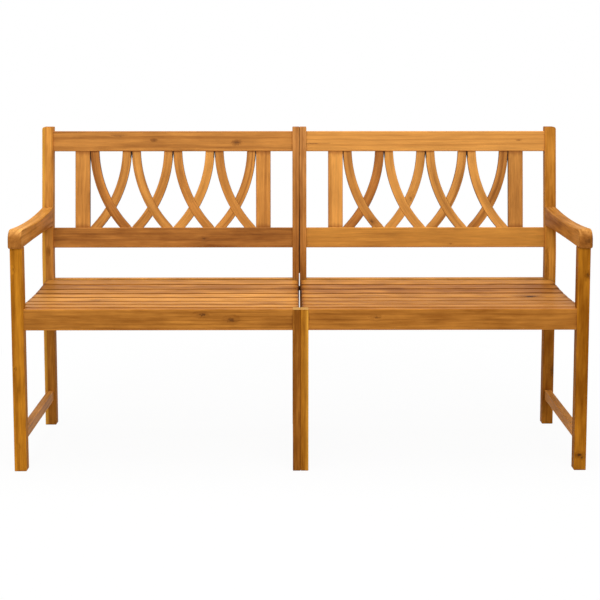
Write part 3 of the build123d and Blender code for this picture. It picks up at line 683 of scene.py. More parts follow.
def make_eased_board():
    tree, given = new_group("eased board", {
        "Length": 0.7, "Width": 0.05, "Thickness": 0.018, "Top Ease": 0.002, "Under Ease": 0.002,
        "End Ease": 0.0, "Steps": 25, "Crowding": 4.0}, GEOMETRY)
    under_ease, end_ease = given["Under Ease"], given["End Ease"]
    section = geo(tree, "CurvePrimitiveQuadrilateral", {
        "Width": given["Width"], "Height": given["Thickness"]}, mode="RECTANGLE")
    upper = count("LESS_THAN", split(geo(tree, "InputPosition"))[1], 0.0)
    ease = upper * (given["Top Ease"] - under_ease) + under_ease
    section = geo(tree, "FilletCurve", {"Curve": section, "Radius": ease, "Count": 4}, mode="POLY")
    line = geo(tree, "CurvePrimitiveLine", {"Start": (-1, 0, 0), "End": (1, 0, 0)})
    line = geo(tree, "ResampleCurve", {"Curve": line, "Count": given["Steps"]}, mode="COUNT")
    spot = split(geo(tree, "InputPosition"))[0]
    half = given["Length"] * 0.5
    left = count("MAXIMUM", 1.0 - abs(spot), 0.0)
    from_middle = 1.0 - count("POWER", left, given["Crowding"])
    along = count("SIGN", spot) * (half * from_middle)
    line = geo(tree, "SetPosition", {"Geometry": line, "Position": join(along, 0.0, 0.0)})
    swept = geo(tree, "CurveToMesh", {"Curve": line, "Profile Curve": section, "Fill Caps": True})
    x, y, z = split(geo(tree, "InputPosition"))
    to_end = half - abs(x)

    def drop(radius):
        """How far a rounding of the end has fallen at this distance from it."""
        short = count("MAXIMUM", radius - to_end, 0.0)
        return radius - count("SQRT", count("MAXIMUM", radius * radius - short * short, 0.0))

    top_drop = drop(end_ease)
    under_drop = drop(count("MINIMUM", end_ease, under_ease))
    fall = count("GREATER_THAN", z, 0.0) * (top_drop - under_drop) + under_drop
    narrow = 1.0 - top_drop / (given["Width"] * 0.5)
    thin = 1.0 - fall / (given["Thickness"] * 0.5)
    board = geo(tree, "SetPosition", {"Geometry": swept, "Position": join(x, y * narrow, z * thin)})
    return finish_group(tree, {"Board": board})


eased_board = make_eased_board()


# %% [markdown]
# ## From a tree to a plain mesh
# A tree is run on a mesh of points, one for each copy, and the points carry what differs from copy
# to copy, such as the tone. The result is kept as a plain mesh, because a piece has to hold its own
# faces. It then stands for the solids of the same pieces.

# %% Run a tree and keep the piece
def run_nodes(name, tree, points, attributes, inputs):
    """Runs a Geometry Nodes tree on a mesh of points and gives the result as a plain mesh object."""
    mesh = bpy.data.meshes.new(name + " points")
    mesh.from_pydata(points, [], [])
    for title, values in attributes.items():
        vectors = isinstance(values[0], (tuple, Vector))
        made = mesh.attributes.new(title, "FLOAT_VECTOR" if vectors else "FLOAT", "POINT")
        flat = [number for value in values for number in (value if vectors else (value,))]
        made.data.foreach_set("vector" if vectors else "value", flat)
    source = bpy.data.objects.new(name + " source", mesh)
    bpy.context.scene.collection.objects.link(source)
    modifier = source.modifiers.new("make", "NODES")
    modifier.node_group = tree
    sockets = {item.name: item.identifier for item in tree.interface.items_tree if item.in_out == "INPUT"}
    for title, value in inputs.items():
        modifier[sockets[title]] = value
    source.update_tag()
    bpy.context.view_layer.update()
    graph = bpy.context.evaluated_depsgraph_get()
    result = bpy.data.meshes.new_from_object(source.evaluated_get(graph), preserve_all_data_layers=True,
                                             depsgraph=graph)
    result.name = name
    piece = bpy.data.objects.new(name, result)
    bpy.context.scene.collection.objects.link(piece)
    bpy.data.objects.remove(source)
    return piece


def keep(piece, nodes):
    """Lets a finished piece stand for its solids, and prints how well it fills their box."""
    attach(piece, "root")
    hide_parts(*nodes)
    spots = [vertex.co for vertex in piece.data.vertices]
    low = [min(axis) for axis in zip(*spots)]
    high = [max(axis) for axis in zip(*spots)]
    boxes = [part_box(node) for node in nodes]
    off_low = [round(1000 * (a - min(box[0][i] for box in boxes)), 2) for i, a in enumerate(low)]
    off_high = [round(1000 * (a - max(box[1][i] for box in boxes)), 2) for i, a in enumerate(high)]
    print(piece.name, "faces:", len(piece.data.polygons), "off the solids' box in mm:", off_low, off_high)


# %% What the trees share
FLAT = 0.999


def pick(given, *titles):
    """Some of a group's inputs, by name."""
    return {title: given[title] for title in titles}


def rotation(tree, turn):
    """A rotation from three angles."""
    return place(tree, "FunctionNodeEulerToRotation", {0: turn})[0]


def lifted(solid, up):
    """A solid moved up."""
    return geo(solid.tree, "Transform", {"Geometry": solid, "Translation": join(0.0, 0.0, up)})


def turned(solid, turn):
    """A solid turned about the origin."""
    return geo(solid.tree, "Transform", {"Geometry": solid, "Rotation": rotation(solid.tree, turn)})


def boolean(operation, first, *others):
    """One solid joined with, cut by or kept inside others."""
    solids = {"Mesh 2": [first, *others]}
    if operation == "DIFFERENCE":
        solids = {"Mesh 1": first, "Mesh 2": list(others)}
    return geo(first.tree, "MeshBoolean", solids, operation=operation, solver="EXACT")


def store_grain(board, grain):
    """Keeps places along the grain on every point, where materials can read them."""
    return geo(board.tree, "StoreNamedAttribute", {"Geometry": board, "Name": "grain", "Value": grain},
               data_type="FLOAT_VECTOR", domain="POINT")


def grained_board(tree, inputs):
    """An eased board with its grain, whose corners are shaded smooth beside flat faces."""
    board = use(tree, eased_board, inputs)[0]
    x, y, z = [abs(number) for number in split(geo(tree, "InputNormal"))]
    corners = count("LESS_THAN", count("MAXIMUM", x, count("MAXIMUM", y, z)), FLAT)
    board = geo(tree, "SetShadeSmooth", {"Geometry": board, "Shade Smooth": corners})
    return store_grain(board, geo(tree, "InputPosition"))


def finished(copies, material):
    """Copies made real, with their material."""
    real = geo(copies.tree, "RealizeInstances", {"Geometry": copies})
    return geo(copies.tree, "SetMaterial", {"Geometry": real, "Material": material})


# %% [markdown]
# ## Seat slats
# The seat is dished: its slats follow a shallow curve from front to back, each on a flat of its own.
# Placing them by hand would hide that rule. The tree gets one point for each slat, works out the
# height of the curve at the slat's two edges, and sets the slat on the line between them.

# %% Geometry tree: seat slats
def make_seat_tree():
    tree, given = new_group("seat slats", {
        "Points": "Geometry", "Slats": 7, "Length": 0.768, "Width": 0.054, "Thickness": 0.018,
        "Top Ease": 0.003, "Under Ease": 0.002, "Front": -0.237, "Pitch": 0.0628, "Middle": 0.39,
        "Height": 0.4515, "Rise": 0.005, "Dip": 0.0085, "Wood": "Material"}, GEOMETRY)
    board = grained_board(tree, {**pick(given, "Length", "Width", "Thickness", "Top Ease", "Under Ease"),
                                 "End Ease": given["Top Ease"]})
    board = lifted(board, given["Thickness"] * 0.5)
    index = geo(tree, "InputIndex")

    def under_side(number):
        """Height of the slats' underside at one of the lines between slats."""
        share = number / given["Slats"]
        straight = share * given["Rise"] + given["Height"]
        return straight - share * (1.0 - share) * 4.0 * given["Dip"] - given["Thickness"]

    near, far = under_side(index), under_side(index + 1.0)
    y = (index + 0.5) * given["Pitch"] + given["Front"]
    spot = join(given["Middle"], y, (near + far) * 0.5)
    points = geo(tree, "SetPosition", {"Geometry": given["Points"], "Position": spot})
    slope = count("ARCTAN2", far - near, given["Pitch"])
    slats = geo(tree, "InstanceOnPoints", {
        "Points": points, "Instance": board, "Rotation": rotation(tree, join(slope, 0.0, 0.0))})
    return finish_group(tree, {"Slats": finished(slats, given["Wood"])})


seat_tree = make_seat_tree()

# %% Sizes of the seat
SEAT_SLATS = 7
SLAT_GAP, SEAT_PLAY = 0.00825, 0.00425
SEAT_SLAT_EASE, SLAT_EASE = 0.003, 0.002
SEAT_HEIGHT, SEAT_RISE, SEAT_DIP, SLAT_THICKNESS = 0.4515, 0.005, 0.0085, 0.018
leg_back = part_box("outer_front_leg_right")[1].y
seat_front = leg_back + SEAT_PLAY - SLAT_GAP / 2
seat_pitch = (y_post - SEAT_PLAY + SLAT_GAP / 2 - seat_front) / SEAT_SLATS
slat_width = seat_pitch - SLAT_GAP
print("seat slats are", round(1000 * slat_width, 2), "mm wide, one every", round(1000 * seat_pitch, 2), "mm")

# %% Seat slats, left and right
# Tone and warmth of each slat from front to back.
SEAT_TONES = {
    "left": [(0.52, 0.05), (0.43, 0.0), (0.72, 0.0), (0.60, 0.0),
             (0.41, 0.05), (0.35, 0.10), (0.57, 0.10)],
    "right": [(0.48, 0.15), (0.36, 0.05), (0.37, 0.05), (0.50, 0.0),
              (0.27, 0.20), (0.22, 0.20), (0.58, 0.10)],
}
SEAT_SEEDS = {"left": 0.41, "right": 0.07}
SEAT_SEED_STEP = 0.173
NO_KNOT = (9.0, 0.0, 0.0)
SEAT_KNOTS = {"left": {2: (-0.19, -0.012, 0.009)}, "right": {3: (0.277, -0.021, 0.009)}}
SEAT_KNOT_SIZE, SEAT_KNOT_DARK = (0.022, 0.013, 0.02), {"left": 0.35, "right": 0.9}
# How far the painted shade in the gaps reaches onto each seat slat, and the contrast of its figure.
SEAT_GAP_SHADE, SEAT_CONTRAST = 0.0034, 1.15


def slat_attributes(tones, knots, first_seed, seed_step):
    """What the points of a row of slats carry: tone, warmth, seed and the place of a dark mark."""
    numbers = range(len(tones))
    return {"tone": [tone for tone, _ in tones], "warmth": [warmth for _, warmth in tones],
            "seed": [(i * seed_step + first_seed) % 1.0 for i in numbers],
            "knot": [knots.get(i, NO_KNOT) for i in numbers]}


for side in ("left", "right"):
    nodes = [f"seat_slat_{i + 1}_{side}" for i in range(SEAT_SLATS)]
    low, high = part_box(nodes[0])
    half = Vector((high.x - low.x, slat_width, SLAT_THICKNESS)) / 2
    wood = slat_material(f"seat slat wood {side}", half, SEAT_GAP_SHADE, SEAT_CONTRAST,
                         (SEAT_KNOT_SIZE, SEAT_KNOT_DARK[side]))
    piece = run_nodes(
        f"seat_slats_{side}", seat_tree, [(0, 0, 0)] * SEAT_SLATS,
        slat_attributes(SEAT_TONES[side], SEAT_KNOTS[side], SEAT_SEEDS[side], SEAT_SEED_STEP),
        {"Slats": SEAT_SLATS, "Length": high.x - low.x, "Width": slat_width, "Thickness": SLAT_THICKNESS,
         "Top Ease": SEAT_SLAT_EASE, "Under Ease": SLAT_EASE, "Front": seat_front, "Pitch": seat_pitch,
         "Middle": (low.x + high.x) / 2, "Height": SEAT_HEIGHT, "Rise": SEAT_RISE, "Dip": SEAT_DIP,
         "Wood": wood},
    )
    keep(piece, nodes)

# %% [markdown]
# ## Bent slats of the back
# The back's crosses are pairs of bent slats, half-lapped where they meet. Each slat is an arc of a
# circle that starts upright under the top rail. A straight board is bent along that arc by moving
# its points, and a boolean takes half its thickness out where its partner crosses. The grain is
# stored after that, worked back from the arc, so it follows the bend.

# %% Geometry group: bend a slat
def make_bend():
    tree, given = new_group("bend a slat", {
        "Board": "Geometry", "Way": 1.0, "Length": 0.235, "Foot": 0.08, "Radius": 0.36, "Start": 0.0497,
        "Upright": 0.325, "Limit": 0.0634, "Depth": -0.018}, GEOMETRY)
    way, radius, limit = given["Way"], given["Radius"], given["Limit"]
    along, across, through = split(geo(tree, "InputPosition"))
    height = given["Length"] * 0.5 + along + given["Foot"]
    drop = given["Upright"] - height
    reach = way * across + radius
    arc = count("SQRT", reach * reach - drop * drop)
    x = way * (radius - given["Start"] - arc)
    x = count("MAXIMUM", count("MINIMUM", x, limit), limit * -1.0)
    bent = geo(tree, "SetPosition", {
        "Geometry": given["Board"], "Position": join(x, height, through + given["Depth"])})
    return finish_group(tree, {"Bent": bent})


bend = make_bend()


# %% Geometry tree: crosses
def on_the_back(slats, given):
    """Slats turned up into the leaning plane of the back."""
    turn = rotation(slats.tree, given["Back Turn"])
    return geo(slats.tree, "Transform", {
        "Geometry": slats, "Translation": given["Back Origin"], "Rotation": turn})


def make_cross_tree():
    tree, given = new_group("bent back slats", {
        "Points": "Geometry", "Length": 0.235, "Width": 0.0275, "Thickness": 0.015, "Ease": 0.002,
        "Lap Play": 0.0001, "Foot": 0.08, "Radius": 0.36, "Start": 0.0497, "Upright": 0.325,
        "Limit": 0.0634, "Depth": -0.018, "Back Origin": (0.0, 0.2, 0.535), "Back Turn": (1.457, 0.0, 0.0),
        "Wood": "Material"}, GEOMETRY)
    arc = pick(given, "Length", "Foot", "Radius", "Start", "Upright", "Limit", "Depth")
    radius, ease, play = given["Radius"], given["Ease"], given["Lap Play"]
    board = use(tree, eased_board, {
        **pick(given, "Length", "Width", "Thickness"), "Top Ease": ease, "Under Ease": ease,
        "Steps": 29, "Crowding": 1.0})[0]
    size = join(given["Length"], play * 2.0 + given["Width"], given["Thickness"])
    block = geo(tree, "MeshCube", {"Size": size, "Vertices X": 30})
    step = given["Thickness"] * 0.5 - play

    def bent_slat(way):
        """One bent slat of a cross, lapped for its partner, with its grain stored."""
        slat = use(tree, bend, {"Board": board, "Way": way, **arc})[0]
        lap = use(tree, bend, {"Board": lifted(block, step * -way), "Way": -way, **arc})[0]
        slat = boolean("DIFFERENCE", slat, lap)
        x, height, through = split(geo(tree, "InputPosition"))
        sideways = (radius - given["Start"]) * way - x
        drop = given["Upright"] - height
        along = count("ARCTAN2", drop, abs(sideways)) * radius
        across = count("LENGTH", join(sideways, drop, 0.0)) - radius
        slat = store_grain(slat, join(along, across, through - given["Depth"]))
        return geo(tree, "GeometryToInstance", {"Geometry": slat})

    choice = geo(tree, "JoinGeometry", {0: [bent_slat(-1.0), bent_slat(1.0)]})
    way = geo(tree, "InputNamedAttribute", {"Name": "way"}, data_type="FLOAT")
    slats = geo(tree, "InstanceOnPoints", {
        "Points": given["Points"], "Instance": choice, "Pick Instance": True,
        "Instance Index": way * -0.5 + 0.5})
    return finish_group(tree, {"Slats": finished(on_the_back(slats, given), given["Wood"])})


cross_tree = make_cross_tree()

# %% Sizes of the crosses
CROSSES = 4
BENT_WIDTH, BENT_THICKNESS, BENT_FOOT, BENT_PLAY, LAP_PLAY = 0.0275, 0.015, 0.0175, 0.0001, 0.0001
BACK_LOW, BACK_HIGH, TENON = 0.0815, 0.3165, 0.010
BACK_PLACE = {"Back Origin": back_origin, "Back Turn": (pi / 2 - LEAN, 0.0, 0.0)}
lattice_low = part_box("inner_back_slat_right")[1].x
lattice_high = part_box("outer_back_slat_right")[0].x
cross_pitch = (lattice_high - lattice_low) / CROSSES
bent_start = cross_pitch / 2 - BENT_PLAY - BENT_WIDTH / 2
bent_sweep = bent_start + cross_pitch / 2 - BENT_FOOT
bent_drop = BACK_HIGH - BACK_LOW + TENON
bent_radius = (bent_drop**2 + bent_sweep**2) / (2 * bent_sweep)
print("one cross every", round(1000 * cross_pitch, 2), "mm, bent to", round(1000 * bent_radius, 1), "mm")

# %% Crosses, left and right
# Tone and warmth of each cross from left to right: first the slat that runs down to the right.
CROSS_TONES = {
    "left": [(0.36, 0.45), (0.62, 0.10), (0.74, 0.0), (0.56, 0.15),
             (0.50, 0.25), (0.76, 0.0), (0.58, 0.20), (0.58, 0.20)],
    "right": [(0.54, 0.10), (0.35, 0.55), (0.73, 0.0), (0.71, 0.0),
              (0.63, 0.0), (0.62, 0.05), (0.77, 0.0), (0.44, 0.30)],
}
CROSS_SEEDS = {"left": 0.3, "right": 0.8}
CROSS_SEED_STEP = 0.119
# Length of the painted shade in the crack beside each slat: longer beside the straight slats, which do not
# bend away.
LONG_CRACK, SHORT_CRACK = 0.034, 0.022
CRACKS = [LONG_CRACK] + [SHORT_CRACK] * (2 * CROSSES - 2) + [LONG_CRACK]
# Dark marks on single slats: how far along from the top, across and through.
CROSS_KNOTS = {"left": {}, "right": {0: (0.243, 0.004, 0.0), 3: (0.160, 0.003, 0.0)}}
CROSS_MARK = ((0.010, 0.007, 0.02), 0.5)
CROSS_GAP_SHADE, CROSS_CONTRAST, ENDLESS = 0.0012, 0.95, 1.0
bent_half = Vector((ENDLESS, BENT_WIDTH / 2, BENT_THICKNESS / 2))
for side in ("left", "right"):
    centres = [lattice_low + (i + 0.5) * cross_pitch for i in range(CROSSES)]
    if side == "left":
        centres = [-x for x in reversed(centres)]
    wood = slat_material(f"bent slat wood {side}", bent_half, CROSS_GAP_SHADE, CROSS_CONTRAST, CROSS_MARK,
                         BACK_SHEEN, TENON)
    piece = run_nodes(
        f"bent_slats_{side}", cross_tree, [(x, 0, 0) for x in centres for _ in range(2)],
        {**slat_attributes(CROSS_TONES[side], CROSS_KNOTS[side], CROSS_SEEDS[side], CROSS_SEED_STEP),
         "way": [1.0, -1.0] * CROSSES, "crack": CRACKS},
        {"Length": BACK_HIGH - BACK_LOW, "Width": BENT_WIDTH, "Thickness": BENT_THICKNESS, "Ease": SLAT_EASE,
         "Lap Play": LAP_PLAY, "Foot": BACK_LOW, "Radius": bent_radius, "Start": bent_start,
         "Upright": BACK_HIGH + TENON, "Limit": cross_pitch / 2 - BENT_PLAY, "Depth": BACK_MIDDLE,
         **BACK_PLACE, "Wood": wood},
    )
    keep(piece, [f"lattice_cross_{i + 1}_{side}" for i in range(CROSSES)])

# %% [markdown]
# ## Straight back slats
# Four broad slats frame the crosses. They are the same eased board again, stood up in the leaning
# plane, so the tree only turns it and puts one on each point.

# %% Geometry tree: straight slats
def make_straight_tree():
    tree, given = new_group("straight back slats", {
        "Points": "Geometry", "Length": 0.235, "Width": 0.045, "Thickness": 0.018, "Ease": 0.002,
        "Back Origin": (0.0, 0.2, 0.535), "Back Turn": (1.457, 0.0, 0.0), "Wood": "Material"}, GEOMETRY)
    board = grained_board(tree, {**pick(given, "Length", "Width", "Thickness"), "Top Ease": given["Ease"],
                                 "Under Ease": given["Ease"]})
    board = turned(board, (0.0, 0.0, pi / 2))
    slats = geo(tree, "InstanceOnPoints", {"Points": given["Points"], "Instance": board})
    return finish_group(tree, {"Slats": finished(on_the_back(slats, given), given["Wood"])})


straight_tree = make_straight_tree()

# %% Straight slats, left to right
STRAIGHT_WIDTH, STRAIGHT_THICKNESS = 0.045, 0.018
STRAIGHT_GAP_SHADE = 0.0014
STRAIGHT_LOOKS = {"tone": [0.56, 0.63, 0.94, 0.46], "warmth": [0.15, 0.20, 0.0, 0.1],
                  "seed": [0.21, 0.47, 0.63, 0.89]}
straight_nodes = ["outer_back_slat_left", "inner_back_slat_left",
                  "inner_back_slat_right", "outer_back_slat_right"]
straight_points = []
for node in straight_nodes:
    low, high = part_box(node)
    straight_points.append(((low.x + high.x) / 2, (BACK_LOW + BACK_HIGH) / 2, BACK_MIDDLE))
straight_half = Vector((BACK_HIGH - BACK_LOW, STRAIGHT_WIDTH, STRAIGHT_THICKNESS)) / 2
piece = run_nodes(
    "straight_slats", straight_tree, straight_points, STRAIGHT_LOOKS,
    {"Length": BACK_HIGH - BACK_LOW, "Width": STRAIGHT_WIDTH, "Thickness": STRAIGHT_THICKNESS,
     "Ease": SLAT_EASE, **BACK_PLACE,
     "Wood": slat_material("straight slat wood", straight_half, STRAIGHT_GAP_SHADE, sheen=BACK_SHEEN)},
)
keep(piece, straight_nodes)

# %% [markdown]
# ## Zinc-plated steel
# The fasteners are zinc plated. Fresh zinc is bluish grey with faint crystal patches, and tools leave
# brighter scuffs on it, so a cellular pattern shifts the colour and noise breaks the gloss.

# %% Group: zinc bloom
ZINC_GREY = (0.44, 0.45, 0.46, 1.0)
ZINC_PALE = (0.62, 0.62, 0.60, 1.0)
ZINC_SCUFFED = (0.74, 0.73, 0.70, 1.0)


def make_zinc():
    tree, given = new_group("zinc bloom", {"Place": "Vector", "Grain Size": 900.0})
    patches = place(tree, "ShaderNodeTexVoronoi", {"Vector": given["Place"], "Scale": given["Grain Size"]})
    scuffs = noise(given["Place"], (400.0, 400.0, 1500.0), 3.0)["Fac"]
    colour = blend(split(patches["Color"])[0], ZINC_GREY, ZINC_PALE)
    colour = blend(soft_step(scuffs, 0.55, 0.75), colour, ZINC_SCUFFED)
    return finish_group(tree, {"Color": colour, "Roughness": scuffs * 0.3 + 0.22})


zinc_bloom = make_zinc()


# %% Bolts, studs and the black washer
BLACK, RUBBED_BLACK = (0.012, 0.012, 0.013, 1.0), (0.05, 0.05, 0.052, 1.0)


def zinc_material(name, grain_size):
    """Zinc-plated steel with its own crystal size."""
    material = new_material(name)
    tree = material.node_tree
    spot = place(tree, "ShaderNodeTexCoord")["Object"]
    bloom = use(tree, zinc_bloom, {"Place": spot, "Grain Size": grain_size})
    cover(tree, {"Base Color": bloom["Color"], "Roughness": bloom["Roughness"], "Metallic": 1.0})
    return material


def black_material():
    """Black washer: paint that is rubbed grey in specks."""
    material = new_material("black washer paint")
    tree = material.node_tree
    spot = place(tree, "ShaderNodeTexCoord")["Object"]
    specks = noise(spot, (700.0, 700.0, 700.0), 3.0)["Fac"]
    colour = blend(soft_step(specks, 0.45, 0.8), BLACK, RUBBED_BLACK)
    cover(tree, {"Base Color": colour, "Roughness": soft_step(specks, 0.3, 0.8, 0.45, 0.7)})
    return material


bolt_zinc = zinc_material("bolt zinc", 900.0)
screw_zinc = zinc_material("screw zinc", 1400.0)
for node in ("frame_bolts", "arm_bolts", "joining_studs"):
    paint(node, bolt_zinc)
paint("joining_spacer", black_material())
print("fasteners dressed in", bolt_zinc.name)

# %% [markdown]
# ## Slat screws and barrel nuts
# Each seat slat is held by two screws from below, and each bolt ends in a barrel nut that shows in a
# hole at the back of its rail. Both repeat many times, so one is modelled in nodes, with a domed head
# and a cross recess or with a slot for a screwdriver, and a copy is put on every point, turned to an
# axis that the point carries.

# %% Geometry tree: screw
def turned_on_points(points, solid, material):
    """Copies a solid to points, with its Z along each point's axis, and gives it its material."""
    axis = geo(points.tree, "InputNamedAttribute", {"Name": "axis"}, data_type="FLOAT_VECTOR")
    turn = place(points.tree, "FunctionNodeAlignRotationToVector", {"Vector": axis}, axis="Z")[0]
    copies = geo(points.tree, "InstanceOnPoints", {"Points": points, "Instance": solid, "Rotation": turn})
    return finished(copies, material)


def cylinder(tree, vertices, radius, depth):
    """An upright cylinder about the origin."""
    return geo(tree, "MeshCylinder", {"Vertices": vertices, "Radius": radius, "Depth": depth})


def make_screw_tree():
    tree, given = new_group("slat screws", {
        "Points": "Geometry", "Length": 0.036, "Tip": 0.004, "Radius": 0.002, "Head Radius": 0.004,
        "Head Height": 0.0025, "Dome": 0.0062, "Recess": 0.0046, "Recess Width": 0.0009,
        "Recess Depth": 0.0026, "Steel": "Material"}, GEOMETRY)
    height, radius = given["Head Height"], given["Radius"]
    head = lifted(cylinder(tree, 28, given["Head Radius"], height), height * -0.5)
    ball = geo(tree, "MeshUVSphere", {"Segments": 28, "Rings": 18, "Radius": given["Dome"]})
    head = boolean("INTERSECT", head, lifted(ball, given["Dome"] - height))
    body = given["Length"] - given["Tip"]
    shank = lifted(cylinder(tree, 14, radius, body), body * 0.5)
    point = geo(tree, "MeshCone", {
        "Vertices": 14, "Radius Top": 0.0, "Radius Bottom": radius, "Depth": given["Tip"]})
    solid = boolean("UNION", head, shank, lifted(point, body))
    size = join(given["Recess"], given["Recess Width"], given["Recess Depth"])
    bar = lifted(geo(tree, "MeshCube", {"Size": size}), height * -1.0)
    solid = boolean("DIFFERENCE", solid, bar, turned(bar, (0.0, 0.0, pi / 2)))
    return finish_group(tree, {"Screws": turned_on_points(given["Points"], solid, given["Steel"])})


screw_tree = make_screw_tree()


# %% Geometry tree: nut
PAST_THE_BARREL = 2.6


def make_nut_tree():
    tree, given = new_group("barrel nuts", {
        "Points": "Geometry", "Radius": 0.005, "Length": 0.015, "Bore": 0.0033, "Slot Width": 0.0012,
        "Slot Depth": 0.0012, "Steel": "Material"}, GEOMETRY)
    barrel = cylinder(tree, 32, given["Radius"], given["Length"])
    across = given["Radius"] * PAST_THE_BARREL
    bore = turned(cylinder(tree, 20, given["Bore"], across), (0.0, pi / 2, 0.0))
    slot = geo(tree, "MeshCube", {"Size": join(across, given["Slot Width"], given["Slot Depth"] * 2.0)})
    solid = boolean("DIFFERENCE", barrel, bore, lifted(slot, given["Length"] * 0.5))
    return finish_group(tree, {"Nuts": turned_on_points(given["Points"], solid, given["Steel"])})


nut_tree = make_nut_tree()


# %% Screws on the seat
SCREW_COVER, SCREW_BITE = 0.010, 0.012


def seat_corner(number):
    """Place, from front to back and up, of the side rail's top between two slats."""
    share = number / SEAT_SLATS
    top = SEAT_HEIGHT + SEAT_RISE * share - 4 * SEAT_DIP * share * (1 - share)
    return Vector((0, seat_front + number * seat_pitch, top - SLAT_THICKNESS))


outer_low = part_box("outer_side_rail_right")[0]
inner_low, inner_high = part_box("inner_side_rail_right")
slat_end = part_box("seat_slat_1_right")[1].x
screw_reach = min(seat_corner(i).z for i in range(SEAT_SLATS + 1)) - outer_low.z - SCREW_COVER
screw_points, screw_axes = [], []
for x in ((inner_low.x + inner_high.x) / 2, (outer_low.x + slat_end) / 2):
    for sign in (-1, 1):
        for i in range(SEAT_SLATS):
            step = seat_corner(i + 1) - seat_corner(i)
            normal = Vector((0, -step.z, step.y)).normalized()
            middle = (seat_corner(i) + seat_corner(i + 1)) / 2
            screw_points.append(middle - normal * screw_reach + Vector((sign * x, 0, 0)))
            screw_axes.append(normal)
piece = run_nodes("seat_screws", screw_tree, screw_points, {"axis": screw_axes},
                  {"Length": screw_reach + SCREW_BITE, "Steel": screw_zinc})
keep(piece, ["slat_screws"])

# %% Nuts in the rails and armrests
NUT_SETBACK = 0.024
ARM_BACK_RISE, ARM_HEIGHT = 0.090, 0.0535
x_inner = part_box("inner_front_leg_right")[1].x
leg_low, leg_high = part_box("outer_front_leg_right")
x_rails = (x_inner + NUT_SETBACK, leg_low.x - NUT_SETBACK)
x_arm = (leg_low.x + leg_high.x) / 2
out_of_back, down_the_back = (back_turn.transposed() @ Vector(way) for way in ((0, 0, -1), (0, -1, 0)))
rows = []
for node in ("front_seat_rail_right", "rear_seat_rail_right"):
    low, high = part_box(node)
    rows.append((Vector((0, (low.y + high.y) / 2, (low.z + high.z) / 2)), Vector((0, 1, 0)), x_rails))
for up in (LOWER_RAIL, TOP_RAIL):
    rows.append((from_back(0, up, BACK_MIDDLE), out_of_back, x_rails))
arm_up = (ARM_BACK_RISE + ARM_HEIGHT / 2) / cos(LEAN)
rows.append((from_back(0, arm_up, NUT_SETBACK), down_the_back, (x_arm,)))
nut_points, nut_axes = [], []
for spot, axis, places in rows:
    for x in places:
        for sign in (-1, 1):
            nut_points.append(spot + Vector((sign * x, 0, 0)))
            nut_axes.append(axis)
piece = run_nodes("rail_nuts", nut_tree, nut_points, {"axis": nut_axes}, {"Steel": bolt_zinc})
keep(piece, ["barrel_nuts"])

# %% [markdown]
# ## Floor, light and background
# The photograph is a catalogue picture on white. The floor is a wide pale square that lights the
# bench from below as a real floor would, but rays from the camera see mostly white, with a trace of
# the shadow left. The world does the same: white to the camera, soft light to everything else.

# %% Floor
FLOOR_HALF = 9.0
FLOOR_GREY, WHITE = (0.80, 0.80, 0.80, 1.0), (1.0, 1.0, 1.0, 1.0)
SHADOW_NEAR, SHADOW_FAR, FLOOR_WHITENESS = 0.9, 1.7, 0.95
floor_mesh = bpy.data.meshes.new("studio floor")
corners = [(x * FLOOR_HALF, y * FLOOR_HALF, 0) for x, y in ((-1, -1), (1, -1), (1, 1), (-1, 1))]
floor_mesh.from_pydata(corners, [], [(0, 1, 2, 3)])
floor = bpy.data.objects.new("studio_floor", floor_mesh)
bpy.context.scene.collection.objects.link(floor)


def seen(tree):
    """1 for rays that show the background: from the camera, in a mirror or through glass."""
    path = place(tree, "ShaderNodeLightPath")
    glossy = count("MAXIMUM", path["Is Camera Ray"], path["Is Glossy Ray"])
    return count("MAXIMUM", glossy, path["Is Transmission Ray"])


floor_paint = new_material("pale floor")
tree = floor_paint.node_tree
pale = place(tree, "ShaderNodeBsdfDiffuse", {"Color": FLOOR_GREY})[0]
white = place(tree, "ShaderNodeEmission", {"Color": WHITE, "Strength": 1.0})[0]
away = count("LENGTH", place(tree, "ShaderNodeTexCoord")["Object"])
share = seen(tree) * soft_step(away, SHADOW_NEAR, SHADOW_FAR, FLOOR_WHITENESS, 1.0)
mixed = place(tree, "ShaderNodeMixShader", {0: share, 1: pale, 2: white})[0]
place(tree, "ShaderNodeOutputMaterial", {"Surface": mixed})
floor_mesh.materials.append(floor_paint)
print("floor:", 2 * FLOOR_HALF, "m wide")

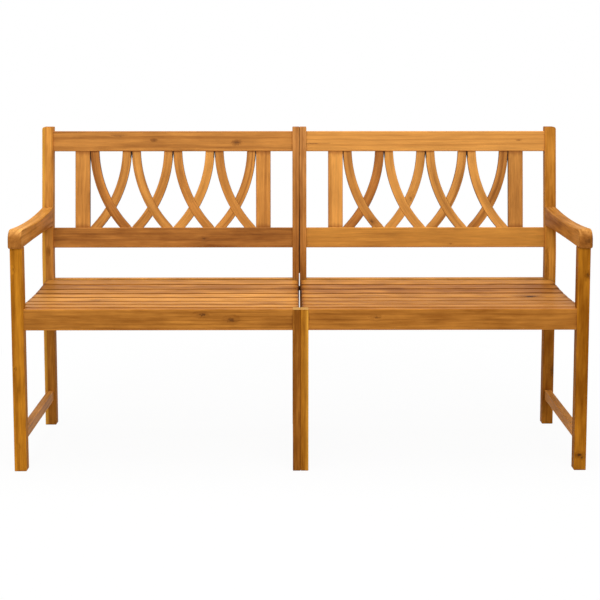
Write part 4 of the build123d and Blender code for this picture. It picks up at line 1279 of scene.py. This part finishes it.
# %% World
WORLD_LIGHT, WORLD_STRENGTH = (1.0, 0.99, 0.97, 1.0), 0.32
world = bpy.data.worlds.new("studio")
world.use_nodes = True
tree = world.node_tree
tree.nodes.clear()
soft = place(tree, "ShaderNodeBackground", {"Color": WORLD_LIGHT, "Strength": WORLD_STRENGTH})[0]
white = place(tree, "ShaderNodeBackground", {"Color": WHITE, "Strength": 1.0})[0]
mixed = place(tree, "ShaderNodeMixShader", {0: seen(tree), 1: soft, 2: white})[0]
place(tree, "ShaderNodeOutputWorld", {"Surface": mixed})
bpy.context.scene.world = world
print("world:", world.name, "strength:", WORLD_STRENGTH)


# %% Lamps
def softbox(name, spot, aim, size, watts):
    """A large square lamp that looks at a point."""
    lamp = bpy.data.lights.new(name, "AREA")
    lamp.shape = "SQUARE"
    lamp.size = size
    lamp.energy = watts
    body = bpy.data.objects.new(name, lamp)
    body.location = spot
    body.rotation_euler = (Vector(aim) - Vector(spot)).to_track_quat("-Z", "Y").to_euler()
    bpy.context.scene.collection.objects.link(body)
    print("lamp", name, watts, "W")


softbox("overhead", (-0.2, 0.0, 3.2), (0, 0, 0.4), 2.6, 84)
softbox("front left", (-1.2, -3.5, 2.9), (0, 0, 0.5), 2.0, 58)
softbox("front right", (1.3, -3.5, 2.8), (0, 0, 0.5), 2.0, 54)

# %% [markdown]
# ## Camera
# The picture was taken from just above the backrest, looking level, with the bench framed well below
# the middle of the lens. Here a small lens shift and a slight tilt share that, so that the uprights
# stay close to upright and other views keep the bench in the picture.

# %% Camera
CAMERA_TILT, CAMERA_SWING = radians(6.211), radians(-0.416)
lens = bpy.data.cameras.new("camera")
lens.sensor_width = 36.0
lens.lens = 81.05
lens.shift_y = -0.16
camera = bpy.data.objects.new("camera", lens)
camera.location = (-0.0282, -3.9025, 1.1362)
camera.rotation_euler = Euler((pi / 2 - CAMERA_TILT, 0.0, CAMERA_SWING))
bpy.context.scene.collection.objects.link(camera)
bpy.context.scene.camera = camera
bpy.context.scene.view_settings.view_transform = "Standard"
print("camera at", [round(v, 3) for v in camera.location], "lens", round(lens.lens, 2), "mm")
